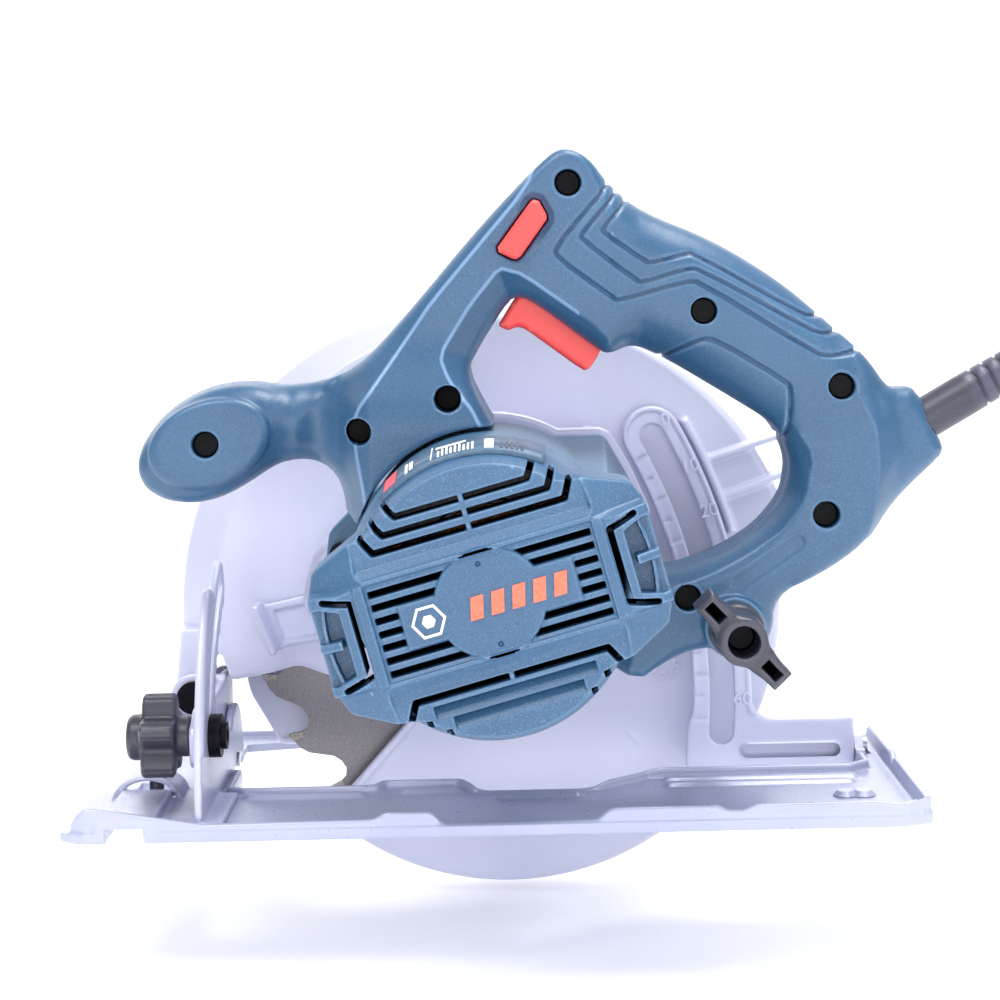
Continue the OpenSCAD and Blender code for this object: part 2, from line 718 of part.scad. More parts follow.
// cylinder on the spring's axis, square to the trigger
module spring_cyl(r, z, h) translate([7, handle_y, 161]) rotate([0, 35, 0])
  translate([11, 0, z]) cylinder(r = r, h = h);
// return spring as a plain sleeve, at its pressed length in the trigger's pocket
module trigger_spring() color(steel) difference() {
  spring_cyl(3.4, 7.4, 9);
  spring_cyl(2.4, 7, 10);
}
module lock_off_button() color(red)
  across_handle(22.2) at_button() rounded(2, 24) square([7.6, 17.2], center = true);

// ---- lower guard ----
guard_front_a = -132;
guard_rear_a = 24;
hub_bore_r = hub_r + 0.06;
module guard_fan() translate(spindle) polygon(concat([[0, 0]], [for (i = [0:12])
  polar((lower_guard_r + 6) * 1.02, guard_front_a + (guard_rear_a - guard_front_a) * i / 12)]));
module guard_sector() intersection() {
  spindle_disc(lower_guard_r);
  guard_fan();
}
module lower_guard() color(alu) difference() {
  union() {
    // near wall with its hub
    along_y(-11.2, -9.2) {
      guard_sector();
      translate(spindle) circle(27);
    }
    // far wall, open about the spindle
    along_y(9, 11) intersection() {
      guard_sector();
      translate(spindle) ring(lower_guard_r + 2, 30);
    }
    // rim
    along_y(-10, 10) intersection() {
      translate(spindle) ring(lower_guard_r, lower_guard_r - 2);
      guard_fan();
    }
  }
  y_cyl(22.06, -20, -5, spindle);
}
// collar on the gear case hub, forward arm and its upright end
module guard_lever() color(alu) difference() {
  union() {
    y_tube(29.6, hub_bore_r, -19.9, -17.5, spindle);
    along_y(-19.7, -17.7) polygon([
      [-86, 45.5], [-88, 47], [-88, 61.5], [-86, 62.5], [-60, 64], [-24, 64],
      [-24, 48], [-60, 45]]);
    along_y(-34, -17.7) rounded(0.9, 24)
      polygon([[-88.9, 61.4], [-86.1, 62.4], [-79.8, 46.6], [-82.5, 45.5]]);
  }
  y_cyl(hub_bore_r, -30, -5, spindle);
}

// ---- gears ----
pressure_a = 20;
profile_shift = 0.45; // added to the pinion, taken from the gear
backlash = 0.14; // taken from each tooth's thickness
gear_pitch_r = gear_m * gear_z / 2;
pinion_pitch_r = gear_m * pinion_z / 2;

// tooth thickness on the pitch circle
function tooth_thick(shift) = gear_m * (PI / 2 + 2 * shift * tan(pressure_a)) - backlash;
// involute function, in degrees
function involute(a) = tan(a) * 180 / PI - a;
// half angle of an involute tooth at radius r
function half_angle(r, pitch_r, thick) = let (base_r = pitch_r * cos(pressure_a))
  thick / (2 * pitch_r) * 180 / PI + involute(pressure_a)
    - (r > base_r ? involute(acos(base_r / r)) : 0);
module gear_outline(teeth, pitch_r, thick, tip_r, root_r) polygon([
  for (k = [0:teeth - 1])
    let (
      mid = k * 360 / teeth,
      foot_r = max(root_r, pitch_r * cos(pressure_a)),
      foot_a = half_angle(foot_r, pitch_r, thick) + 0.1,
      radii = [for (i = [0:4]) foot_r + (tip_r - foot_r) * i / 4]
    )
    each concat(
      [polar(root_r, mid - foot_a)],
      [for (i = [0:4]) polar(radii[i], mid - half_angle(radii[i], pitch_r, thick))],
      [for (i = [4:-1:0]) polar(radii[i], mid + half_angle(radii[i], pitch_r, thick))],
      [polar(root_r, mid + foot_a)])
]);

// ---- spindle ----
arbor_r = 10;
flange_y = 0.92; // flange faces either side of the blade's plane

module spindle_shaft() color(steel) difference() {
  union() {
    y_cyl(arbor_r, -0.98, 3, spindle);
    y_cyl(7.48, -17.4, -0.9, spindle);
    y_cyl(7.4, -33.5, -17.3, spindle);
    y_cyl(5.0, -43.6, -33.4, spindle);
    y_cyl(12, -5.2, -4.95, spindle);
  }
  y_cyl(3.0, -16, 8, spindle);
}
module output_gear() color(steel) difference() {
  along_y(-31, -23) translate(spindle) rotate(mesh_a + 180 / gear_z) gear_outline(
    gear_z, gear_pitch_r, tooth_thick(-profile_shift),
    tip_r = gear_pitch_r + (1 - profile_shift) * gear_m - 0.05,
    root_r = gear_pitch_r - (1.25 + profile_shift) * gear_m);
  y_cyl(7.42, -40, -20, spindle);
}
module inner_flange() color(steel) difference() {
  union() {
    y_cyl(20, -3.4, -flange_y, spindle);
    y_cyl(16, -4.9, -3.3, spindle);
  }
  y_cyl(7.5, -10, 5, spindle);
  y_cyl(18.2, -1.4, 0, spindle);
}

tooth_pitch = 360 / blade_teeth;
// [radius, angle] of one tooth and gullet, for a 184 mm blade and a pitch of 15 degrees
tooth_profile = [
  [91.4, 1.7], [91, 3.8], [89.4, 6], [86, 8.3], [83.2, 10.5], [82.4, 12.5],
  [82.9, 14.6], [85, 15.9], [87.1, 15.95], [87.3, 17.3]];
carbide_tip = [[92, 0], [91.45, 1.66], [87.36, 2.26], [87.16, 1.0]]; // [radius, angle]
module blade_scale() scale(blade_d / 184) children();
module saw_blade() color(blade_steel) difference() {
  along_y(-blade_t / 2, blade_t / 2) translate(spindle) blade_scale() difference() {
    polygon([for (k = [0:blade_teeth - 1]) for (p = tooth_profile)
      polar(p[0], (k + p[1] / 15) * tooth_pitch)]);
    // round holes joined to the gullets by narrow slits
    for (k = [0:2]) rotate(k * 120 + 8) {
      translate([77.3, 0]) circle(2.2, $fn = 24);
      translate([79.5, 0]) square([6, 0.8], center = true);
    }
  }
  y_cyl(arbor_r + 0.03, -5, 5, spindle);
}
module carbide_teeth() color(carbide)
  along_y(-kerf / 2, kerf / 2) translate(spindle) blade_scale()
    for (k = [0:blade_teeth - 1])
      rotate(k * tooth_pitch) polygon([for (p = carbide_tip) polar(p[0], p[1])]);
module outer_flange() color(steel) difference() {
  union() {
    y_cyl(20, flange_y, 2.6, spindle);
    y_cyl(15, 2.5, 4.4, spindle);
  }
  y_cyl(arbor_r + 0.02, -1, 3.1, spindle);
  y_cyl(4.1, 0, 6, spindle);
}
// bolt with a hexagon socket in its hexagon head
module blade_bolt() color(steel) {
  y_cyl(2.95, -13, 5, spindle);
  y_cyl(4.05, 3.05, 4.6, spindle);
  difference() {
    y_cyl(7.4, 4.42, 10, spindle, 6);
    y_cyl(3, 6.5, 12, spindle, 6);
  }
}
module balls(at, ring_r, ball_r, y) for (k = [0:8])
  translate([at[0] + ring_r * cos(k * 40), y, at[1] + ring_r * sin(k * 40)])
    sphere(r = ball_r, $fn = 24);
// inner rings with their balls
module spindle_bearing_balls() color(steel) {
  y_tube(10.2, 7.5, -17.1, -9.4, spindle);
  y_tube(7.2, 5.01, -41.5, -34.7, spindle);
  balls(spindle, 11.7, 1.46, -13.2);
  balls(spindle, 8, 0.78, -38);
}

// ---- armature ----
shaft_r = 4.95;
shaft_bore_r = shaft_r + 0.02;

// circles at the twelve winding slots
module core_slots(r) for (k = [0:11]) rotate(k * 30) translate([18.5, 0]) circle(r, $fn = 24);
module armature_shaft() color(steel) {
  y_cyl(3.5, -49, -33.5, motor);
  y_cyl(shaft_r, -167.4, -36.6, motor);
  along_y(-33.6, -21.5) translate(motor) rotate(mesh_a + 180) gear_outline(
    pinion_z, pinion_pitch_r, tooth_thick(profile_shift),
    tip_r = pinion_pitch_r + 1.28 * gear_m,
    root_r = pinion_pitch_r - (1.25 - profile_shift) * gear_m);
}
module armature_core() color(steel) difference() {
  along_y(stator_y[0], stator_y[1]) translate(motor) difference() {
    circle(22.2);
    core_slots(2.7);
  }
  y_cyl(shaft_bore_r, -130, -70, motor);
}
module commutator() color(copper) difference() {
  y_cyl(13, -160, -146, motor);
  y_cyl(shaft_bore_r, -170, -140, motor);
}
module armature_windings() color(copper) {
  y_tube(20.5, shaft_bore_r, -130, -120.1, motor);
  y_tube(20.5, shaft_bore_r, -79.9, -71, motor);
  along_y(-120.2, -79.8) translate(motor) core_slots(2.3);
}
module cooling_fan() color(black) difference() {
  union() {
    y_cyl(28.4, -60.5, -59, motor);
    y_cyl(8, -66, -53, motor);
    for (k = [0:10])
      along_y(-59.2, -53) translate(motor) rotate(k * 360 / 11) translate([7, -1]) square([21.2, 2]);
  }
  y_cyl(shaft_bore_r, -70, -50, motor);
}
// inner rings, with balls in the larger bearing
module armature_bearing_balls() color(steel) {
  y_tube(8, shaft_bore_r, -44.9, -36.7, motor);
  y_tube(5.5, shaft_bore_r, -167.3, -161.6, motor);
  balls(motor, 9.5, 1.45, -41);
}

base_plate();
bevel_quadrant();
rear_pivot_lug();
base_rivets();
front_tilt_pin();
rear_tilt_pin();
guide_lock_screw();
hinge_bracket();
depth_bracket();
depth_pivot_pin();
bevel_lock_bolt();
bevel_lock_knob();
upper_guard();
gear_case();
case_screws();
guard_retainer();
guard_return_spring();
bearing_races();
motor_housing();
housing_screws();
stator_core();
stator_windings();
air_baffle();
brush_holders();
carbon_brushes();
brush_springs();
motor_cap();
cap_screws();
rating_label();
badge_inlay();
handle_shell_near();
handle_shell_far();
handle_screws();
switch_module();
cord_clamp();
cord_guard();
power_cord();
depth_clamp_bolt();
depth_clamp_washer();
depth_lock_lever();
trigger();
trigger_spring();
lock_off_button();
lower_guard();
guard_lever();
spindle_shaft();
output_gear();
inner_flange();
saw_blade();
carbide_teeth();
outer_flange();
blade_bolt();
spindle_bearing_balls();
armature_shaft();
armature_core();
commutator();
armature_windings();
cooling_fan();
armature_bearing_balls();
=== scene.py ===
"""Looks of a hand-held circular saw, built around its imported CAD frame.

The saw runs along x, its spindle and motor lie along y with the motor end cap
towards -y (the near side), and z is up. Shapes are signed distance fields in
millimetres, negative inside, meshed here. Each mesh rides on a CAD body.
"""
import math
from functools import reduce

import bmesh
import bpy
import numpy as np
from mathutils import Matrix, Vector

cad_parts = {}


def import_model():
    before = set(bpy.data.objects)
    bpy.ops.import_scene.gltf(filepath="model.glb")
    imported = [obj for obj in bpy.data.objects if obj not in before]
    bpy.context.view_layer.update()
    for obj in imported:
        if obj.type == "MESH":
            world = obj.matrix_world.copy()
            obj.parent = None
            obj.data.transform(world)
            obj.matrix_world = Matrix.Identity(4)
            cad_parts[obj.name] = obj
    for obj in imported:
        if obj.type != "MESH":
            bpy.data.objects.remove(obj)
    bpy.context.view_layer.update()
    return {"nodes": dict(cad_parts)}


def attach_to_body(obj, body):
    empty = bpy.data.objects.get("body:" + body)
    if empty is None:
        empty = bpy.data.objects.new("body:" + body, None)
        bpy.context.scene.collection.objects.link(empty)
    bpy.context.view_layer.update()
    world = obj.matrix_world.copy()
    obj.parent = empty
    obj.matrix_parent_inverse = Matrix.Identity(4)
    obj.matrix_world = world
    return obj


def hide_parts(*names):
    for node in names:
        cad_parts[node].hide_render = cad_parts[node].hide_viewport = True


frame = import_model()
SCENE = bpy.context.scene
F32 = np.float32

# ---------------------------------------------------------------- the saw's own axes, mm
SPINDLE = (0.0, 57.0)           # (x, z)
MOTOR = (-3.64, 84.26)          # (x, z)
DEPTH_PIVOT = (-111.5, 28.5)    # (x, z)
DEPTH_CLAMP = (72.2, 63.5)      # (x, z)
TILT_AXIS = (-12.0, 5.0)        # (y, z)
BEVEL_BOLT = (-84.0, 28.0)      # (y, z)
MOTOR_TILT = math.radians(15)   # turn of the motor's own axes about y
HANDLE_MID = -88.0              # y of the plane where the handle shells meet
CAP_FACE = -188.3               # y of the end cap's foremost plane
DEPTH_RADIUS = 187.0            # depth scale's middle line, about the depth pivot
CORD_START = np.array([138.5, HANDLE_MID, 127.0])
CORD_SLOPE = math.radians(60.6)  # of the cord from vertical, towards +x
CORD_DIRECTION = np.array([math.sin(CORD_SLOPE), 0, math.cos(CORD_SLOPE)])


def polar(centre, radius, degrees):
    angle = math.radians(degrees)
    return (centre[0] + radius * math.cos(angle), centre[1] + radius * math.sin(angle))


def from_motor(x, z):
    """Saw (x, z) of a place given in the motor's own axes."""
    cos, sin = math.cos(MOTOR_TILT), math.sin(MOTOR_TILT)
    return MOTOR[0] + x * cos - z * sin, MOTOR[1] + x * sin + z * cos


# ---------------------------------------------------------------- flat distance fields
def segment(x, z, start, end):
    run_x, run_z = end[0] - start[0], end[1] - start[1]
    off_x, off_z = x - F32(start[0]), z - F32(start[1])
    length2 = F32(max(run_x * run_x + run_z * run_z, 1e-9))
    along = np.clip((off_x * F32(run_x) + off_z * F32(run_z)) / length2, 0, 1)
    return np.hypot(off_x - along * F32(run_x), off_z - along * F32(run_z))


def polyline(x, z, points):
    return reduce(np.minimum, (segment(x, z, a, b) for a, b in zip(points, points[1:])))


def soften(points, passes, closed=True, keep=0.25):
    """Cut the corners, so that an outline bends rather than kinks."""
    for _ in range(passes):
        cut_points = []
        count = len(points)
        for i in range(count if closed else count - 1):
            a = np.array(points[i], float)
            b = np.array(points[(i + 1) % count], float)
            cut_points += [a * (1 - keep) + b * keep, a * keep + b * (1 - keep)]
        if not closed:
            cut_points = [np.array(points[0], float)] + cut_points + [np.array(points[-1], float)]
        points = cut_points
    return [tuple(p) for p in points]


def polygon(x, z, points, passes=0, keep=0.25):
    """Closed polygon, its corners softened first."""
    points = soften(points, passes, keep=keep)
    dist = np.full(np.broadcast(x, z).shape, 1e6, F32)
    inside = np.zeros(dist.shape, bool)
    for i, a in enumerate(points):
        b = points[(i + 1) % len(points)]
        dist = np.minimum(dist, segment(x, z, a, b))
        if a[1] != b[1]:
            level = (z >= min(a[1], b[1])) & (z < max(a[1], b[1]))
            crossing = a[0] + (z - a[1]) * (b[0] - a[0]) / (b[1] - a[1])
            inside ^= level & (x < crossing)
    return np.where(inside, -dist, dist).astype(F32)


def rectangle(x, z, centre_x, centre_z, half_x, half_z, angle=0.0, corner=0.0):
    cos, sin = math.cos(angle), math.sin(angle)
    off_x, off_z = x - centre_x, z - centre_z
    u = np.abs(off_x * cos + off_z * sin) - (half_x - corner)
    v = np.abs(-off_x * sin + off_z * cos) - (half_z - corner)
    outside = np.hypot(np.maximum(u, 0), np.maximum(v, 0))
    return (outside + np.minimum(np.maximum(u, v), 0) - corner).astype(F32)


def circle(x, z, centre, radius):
    return (np.hypot(x - centre[0], z - centre[1]) - radius).astype(F32)


def slab(axis, low, high):
    return (np.abs(axis - (low + high) / 2) - (high - low) / 2).astype(F32)


# ---------------------------------------------------------------- combining fields
def step(x, start, end):
    """Smooth rise from 0 at start to 1 at end."""
    t = np.clip((x - start) / (end - start), 0, 1)
    return (t * t * (3 - 2 * t)).astype(F32)


def rounded(a, b, radius):
    """Intersection with its edge rounded."""
    radius = np.maximum(np.asarray(radius, F32), F32(0.01))
    outside = np.hypot(np.maximum(a + radius, 0), np.maximum(b + radius, 0))
    return (np.minimum(np.maximum(a + radius, b + radius), 0) + outside - radius).astype(F32)


def plate(outline, axis, low, high, edge):
    """Outline extruded from low to high, with rounded edges."""
    return rounded(outline, slab(axis, low, high), edge)


def prism(outline, axis, low, high):
    """Outline extruded from low to high, with sharp edges."""
    return np.maximum(outline, slab(axis, low, high))


def tube(run, offset, radius):
    """Round bar along a flat curve; offset is measured out of the curve's plane."""
    return np.sqrt(run ** 2 + offset ** 2) - radius


def weld(a, b, fillet):
    """Union with a soft joint."""
    share = np.clip(0.5 + 0.5 * (b - a) / fillet, 0, 1)
    return (b + (a - b) * share - fillet * share * (1 - share)).astype(F32)


def trim(a, b, fillet):
    """Intersection with a soft joint."""
    return -weld(-a, -b, fillet)


def cut(shape, *tools, fillet=0):
    """Take away the region that all the tools share."""
    rest = -reduce(np.maximum, tools)
    return trim(shape, rest, fillet) if fillet else np.maximum(shape, rest)


# ---------------------------------------------------------------- meshing
class Grid:
    """Sample points of a field; its axes broadcast to the full block."""

    def __init__(self, low, high, pitch):
        self.pitch = np.array(pitch, float)
        self.origin = np.array(low, float) - 1.5 * self.pitch
        reach = np.array(high, float) + 1.5 * self.pitch - self.origin
        count = np.ceil(reach / self.pitch).astype(int) + 1
        self.shape = tuple(count)
        x, y, z = [(self.origin[i] + self.pitch[i] * np.arange(count[i])).astype(F32)
                   for i in range(3)]
        self.axes = x[:, None, None], y[None, :, None], z[None, None, :]


def surface_nets(field, origin, pitch):
    """One vertex in every cell the surface crosses, and the quads that join them."""
    field = np.asarray(field, F32)
    inside = field < 0
    size = [n - 1 for n in inside.shape]
    count = np.zeros(size, np.int8)
    for i, j, k in np.ndindex(2, 2, 2):
        count += inside[i:size[0] + i, j:size[1] + j, k:size[2] + k]
    cells = np.nonzero((count > 0) & (count < 8))
    total = len(cells[0])
    index = np.full(count.shape, -1, np.int32)
    index[cells] = np.arange(total, dtype=np.int32)

    # each vertex is the mean of the crossings on its cell's twelve edges
    offset = np.zeros((total, 3), F32)
    crossings = np.zeros(total, F32)
    for axis in range(3):
        side, other = [i for i in range(3) if i != axis]
        for u, v in np.ndindex(2, 2):
            start = list(cells)
            start[side] = start[side] + u
            start[other] = start[other] + v
            end = list(start)
            end[axis] = end[axis] + 1
            first, last = field[tuple(start)], field[tuple(end)]
            crossed = (first < 0) != (last < 0)
            span = np.where(crossed, first - last, 1)
            offset[:, axis] += np.where(crossed, first / span, 0)
            offset[:, side] += np.where(crossed, u, 0)
            offset[:, other] += np.where(crossed, v, 0)
            crossings += crossed
    points = (np.stack(cells, 1) + offset / crossings[:, None]) * pitch + origin

    # each crossed grid edge gives a quad between its four cells
    quads = []
    for axis in range(3):
        low, high = [slice(1, -1)] * 3, [slice(1, -1)] * 3
        low[axis], high[axis] = slice(0, -1), slice(1, None)
        first, last = inside[tuple(low)], inside[tuple(high)]
        edges = list(np.nonzero(first != last))
        leaving = first[tuple(edges)]
        side, other = (axis + 1) % 3, (axis + 2) % 3
        edges[side] = edges[side] + 1
        edges[other] = edges[other] + 1
        corners = []
        for u, v in ((0, 0), (1, 0), (1, 1), (0, 1)):
            cell = list(edges)
            cell[side] = cell[side] + u - 1
            cell[other] = cell[other] + v - 1
            corners.append(index[tuple(cell)])
        quad = np.stack(corners, 1)
        quad[~leaving] = quad[~leaving][:, ::-1]
        quads.append(quad)
    return points, np.concatenate(quads)


def link_object(name, data):
    obj = bpy.data.objects.new(name, data)
    SCENE.collection.objects.link(obj)
    return obj


def quad_mesh(name, points, quads, attributes=None):
    """Smooth mesh object from points in mm; attributes are one value per point."""
    data = bpy.data.meshes.new(name)
    data.vertices.add(len(points))
    data.vertices.foreach_set("co", (np.asarray(points, F32) / 1000).ravel())
    data.loops.add(quads.size)
    corners = np.ascontiguousarray(quads, np.int32).ravel()
    data.loops.foreach_set("vertex_index", corners)
    data.polygons.add(len(quads))
    data.polygons.foreach_set("loop_start", np.arange(0, quads.size, 4, dtype=np.int32))
    data.update(calc_edges=True)
    data.polygons.foreach_set("use_smooth", np.ones(len(quads), bool))
    for key, values in (attributes or {}).items():
        layer = data.attributes.new(key, "FLOAT", "POINT")
        layer.data.foreach_set("value", np.asarray(values, F32))
    return link_object(name, data)


def attach(obj, body, material, replaces=None):
    """Give an object its material, hang it on its body and hide the CAD part it replaces."""
    obj.data.materials.append(material)
    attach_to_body(obj, body)
    if replaces:
        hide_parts(replaces)


def build(name, grid, field, body, material, replaces, motor_axes=False, attributes=None):
    """Mesh a field; attributes are functions of the points in the field's own axes."""
    field = np.broadcast_to(field, grid.shape)
    points, quads = surface_nets(field, grid.origin, grid.pitch)
    values = {key: rule(points) for key, rule in (attributes or {}).items()}
    if motor_axes:
        points[:, 0], points[:, 2] = from_motor(points[:, 0], points[:, 2])
    attach(quad_mesh(name, points, quads, values), body, material, replaces)


def solid(name, points, faces, smooth=False):
    """Mesh object from points in mm, with its faces turned outward."""
    data = bpy.data.meshes.new(name)
    data.from_pydata([tuple(c / 1000 for c in p) for p in points], [], faces)
    if smooth:
        data.polygons.foreach_set("use_smooth", [True] * len(faces))
    data.update()
    obj = link_object(name, data)
    bm = bmesh.new()
    bm.from_mesh(data)
    bmesh.ops.recalc_face_normals(bm, faces=bm.faces)
    bm.to_mesh(data)
    bm.free()
    return obj


def lathe(name, profile, body, material, replaces, sides=64):
    """Turned shape on the cord's axis; profile is (radius, distance along) in mm."""
    across = np.cross(CORD_DIRECTION, [0, 1, 0])
    across = across / np.linalg.norm(across)
    other = np.cross(CORD_DIRECTION, across)
    angle = np.arange(sides) * 2 * math.pi / sides
    spokes = np.cos(angle)[:, None] * across + np.sin(angle)[:, None] * other
    points = np.concatenate([CORD_START + CORD_DIRECTION * h + r * spokes for r, h in profile])
    last = len(profile) - 1
    quads = [(i * sides + j, i * sides + (j + 1) % sides,
              (i + 1) * sides + (j + 1) % sides, (i + 1) * sides + j)
             for i in range(last) for j in range(sides)]
    obj = quad_mesh(name, points, np.array(quads, np.int32))
    bm = bmesh.new()
    bm.from_mesh(obj.data)
    bm.verts.ensure_lookup_table()
    for ring in (0, last):
        bm.faces.new([bm.verts[ring * sides + j] for j in range(sides)])
    bmesh.ops.recalc_face_normals(bm, faces=bm.faces)
    for face in bm.faces:
        face.smooth = len(face.verts) == 4
    bm.to_mesh(obj.data)
    bm.free()
    attach(obj, body, material, replaces)


# ---------------------------------------------------------------- materials
def linear(channels):
    """Linear RGBA from sRGB channels in 0..1."""
    return tuple(c / 12.92 if c <= 0.04045 else ((c + 0.055) / 1.055) ** 2.4
                 for c in channels) + (1,)


def hex_color(code):
    return linear([int(code[i:i + 2], 16) / 255 for i in (0, 2, 4)])


class Material:
    """Builder for a node material in object space (metres). Inputs may be sockets or values."""

    def __init__(self, name):
        self.data = bpy.data.materials.new(name)
        self.data.use_nodes = True
        self.tree = self.data.node_tree
        self.shader = self.tree.nodes["Principled BSDF"]
        self.coords = self.node("ShaderNodeTexCoord").outputs["Object"]

    def feed(self, socket, value):
        if isinstance(value, bpy.types.NodeSocket):
            self.tree.links.new(value, socket)
        else:
            socket.default_value = value

    def node(self, kind, inputs=None, **settings):
        node = self.tree.nodes.new(kind)
        for key, value in settings.items():
            setattr(node, key, value)
        for key, value in (inputs or {}).items():
            self.feed(node.inputs[key], value)
        return node

    def noise(self, scale, detail=3, rough=0.5, vector=None):
        inputs = {"Scale": scale, "Detail": detail, "Roughness": rough,
                  "Vector": self.coords if vector is None else vector}
        return self.node("ShaderNodeTexNoise", inputs).outputs["Fac"]

    def ramp(self, value, low=0.3, high=0.7, out=(0.0, 1.0)):
        inputs = {"Value": value, "From Min": low, "From Max": high,
                  "To Min": out[0], "To Max": out[1]}
        return self.node("ShaderNodeMapRange", inputs).outputs["Result"]

    def math(self, operation, *values):
        inputs = dict(enumerate(values))
        return self.node("ShaderNodeMath", inputs, operation=operation).outputs[0]

    def mix(self, factor, a, b, amount=None):
        """Mix two colours; amount scales the factor."""
        if amount is not None:
            factor = self.math("MULTIPLY", factor, amount)
        # the colour sockets are 6, 7 and output 2
        return self.node("ShaderNodeMix", {0: factor, 6: a, 7: b}, data_type="RGBA").outputs[2]

    def bump(self, height, strength, distance, below=None):
        inputs = {"Strength": strength, "Distance": distance, "Height": height}
        if below is not None:
            inputs["Normal"] = below
        return self.node("ShaderNodeBump", inputs).outputs["Normal"]

    def edge(self, low=0.51, high=0.57):
        """Rises on convex edges, where the lighter edges are painted: edge wear and painted
        highlight.
        """
        return self.ramp(self.node("ShaderNodeNewGeometry").outputs["Pointiness"], low, high)

    def attribute(self, name):
        return self.node("ShaderNodeAttribute", attribute_name=name).outputs["Fac"]

    def finish(self, color, rough, normal=None, metallic=0.0):
        inputs = self.shader.inputs
        self.feed(inputs["Base Color"], color)
        self.feed(inputs["Roughness"], rough)
        self.feed(inputs["Metallic"], metallic)
        if normal is not None:
            self.feed(inputs["Normal"], normal)
        return self.data


def plastic(name, base, light, dark, rough, grain, spec=0.5, shade_recesses=False, shade_grooves_light_crease=False):
    """Moulded plastic: fine grain, small colour drift, lighter edges from edge wear and painted
    highlight.

    Painted shade and highlight: one flag darkens recesses where a depth attribute is high and
    takes away their specular; another paints shade along each groove and a highlight along the
    handle's crease, each from its own attribute.
    """
    mat = Material(name)
    base, light, dark = hex_color(base), hex_color(light), hex_color(dark)
    color = mat.mix(mat.ramp(mat.noise(scale=28, detail=4)), dark, base)
    fleck = mat.ramp(mat.noise(scale=4800, detail=2, rough=0.6), low=0.55, high=0.72)
    color = mat.mix(fleck, color, light, amount=0.45 * grain)
    # lighter convex edges: partly edge wear, partly painted highlight
    color = mat.mix(mat.edge(), color, light, amount=0.35)
    if shade_grooves_light_crease:
        # painted shade: a dark blue line along each groove
        groove = mat.ramp(mat.attribute("groove_dark"), low=0.45, high=0.85)
        color = mat.mix(groove, color, linear([0.11, 0.24, 0.38]), amount=0.75)
        # painted highlight: a light line along the handle's crease
        crease = mat.ramp(mat.attribute("crease_light"), low=0.35, high=0.9)
        color = mat.mix(crease, color, light, amount=0.55)
    # painted shade: recesses darken to near black with depth and lose their specular
    if shade_recesses:
        recess_shade = mat.attribute("recess_shade_depth")
        color = mat.mix(mat.ramp(recess_shade, low=1.2, high=4.5), color, hex_color("050607"))
        spec = mat.ramp(recess_shade, low=1.2, high=3.0, out=(spec, 0.0))
    mat.feed(mat.shader.inputs["Specular IOR Level"], spec)
    roughness = mat.ramp(mat.noise(scale=1400), out=(rough - 0.06, rough + 0.08))
    fine = mat.bump(mat.noise(scale=2300, detail=2, rough=0.6), strength=0.22 * grain,
                    distance=0.0002)
    return mat.finish(color, roughness,
                      mat.bump(mat.noise(scale=60), strength=0.05, distance=0.0006, below=fine))


def painted_metal(name, base, light, dark, rough, metallic, cast):
    """Silver paint: fine flake, soft waviness set by cast, edges lightened as edge wear and
    painted highlight.
    """
    mat = Material(name)
    light = hex_color(light)
    color = mat.mix(mat.ramp(mat.noise(scale=18, detail=4)), hex_color(dark), hex_color(base))
    flake = mat.ramp(mat.noise(scale=3800, detail=2, rough=0.7), low=0.55, high=0.75)
    color = mat.mix(flake, color, light, amount=0.2)
    # lighter convex edges: partly edge wear, partly painted highlight
    color = mat.mix(mat.edge(low=0.52, high=0.6), color, light, amount=0.4)
    roughness = mat.ramp(mat.noise(scale=500), out=(rough - 0.05, rough + 0.07))
    fine = mat.bump(mat.noise(scale=900, rough=0.6), strength=0.10 * cast, distance=0.0002)
    wavy = mat.bump(mat.noise(scale=45), strength=0.10 * cast, distance=0.0008, below=fine)
    return mat.finish(color, roughness, wavy, metallic)


def bare_metal(name, base, dark, rough, brushed=None, scale=900):
    """Bare metal; brushed stretches the grain by a factor per axis."""
    mat = Material(name)
    vector = None
    if brushed:
        inputs = {"Scale": brushed, "Vector": mat.coords}
        vector = mat.node("ShaderNodeMapping", inputs).outputs["Vector"]
    grain = mat.noise(scale=scale, detail=4, rough=0.6, vector=vector)
    color = mat.mix(mat.ramp(grain), hex_color(dark), hex_color(base))
    roughness = mat.ramp(grain, out=(rough - 0.06, rough + 0.1))
    return mat.finish(color, roughness, mat.bump(grain, strength=0.12, distance=0.0002),
                      metallic=1.0)


def blade_metal():
    """Ground steel: rings round the arbor and a faint stain."""
    mat = Material("ground_blade_steel")
    place = mat.node("ShaderNodeSeparateXYZ", {0: mat.coords}).outputs
    up = mat.math("SUBTRACT", place["Z"], SPINDLE[1] / 1000)
    squares = mat.math("ADD", mat.math("MULTIPLY", place["X"], place["X"]),
                       mat.math("MULTIPLY", up, up))
    ring_stretch = 60.0     # how much finer the grain is along the radius
    rings = mat.node("ShaderNodeCombineXYZ", {
        0: mat.math("MULTIPLY", mat.math("SQRT", squares), ring_stretch),
        1: mat.math("ARCTAN2", up, place["X"])}).outputs[0]
    grain = mat.noise(scale=60, detail=5, rough=0.7, vector=rings)
    color = mat.mix(mat.ramp(grain), hex_color("5f5c60"), hex_color("8b878b"))
    stain = mat.ramp(mat.noise(scale=22, detail=4), low=0.45, high=0.75)
    color = mat.mix(stain, color, hex_color("6a615e"), amount=0.2)
    return mat.finish(color, mat.ramp(grain, out=(0.26, 0.42)),
                      mat.bump(grain, strength=0.15, distance=0.0001), metallic=0.9)


def printed(name, color, light, rough=0.4):
    mat = Material(name)
    ink = mat.mix(mat.ramp(mat.noise(scale=700), low=0.35, high=0.65),
                  hex_color(color), hex_color(light))
    roughness = mat.ramp(mat.noise(scale=300, detail=2), out=(rough - 0.05, rough + 0.08))
    return mat.finish(ink, roughness, mat.bump(mat.noise(scale=1500, detail=2),
                                               strength=0.1, distance=0.0001))
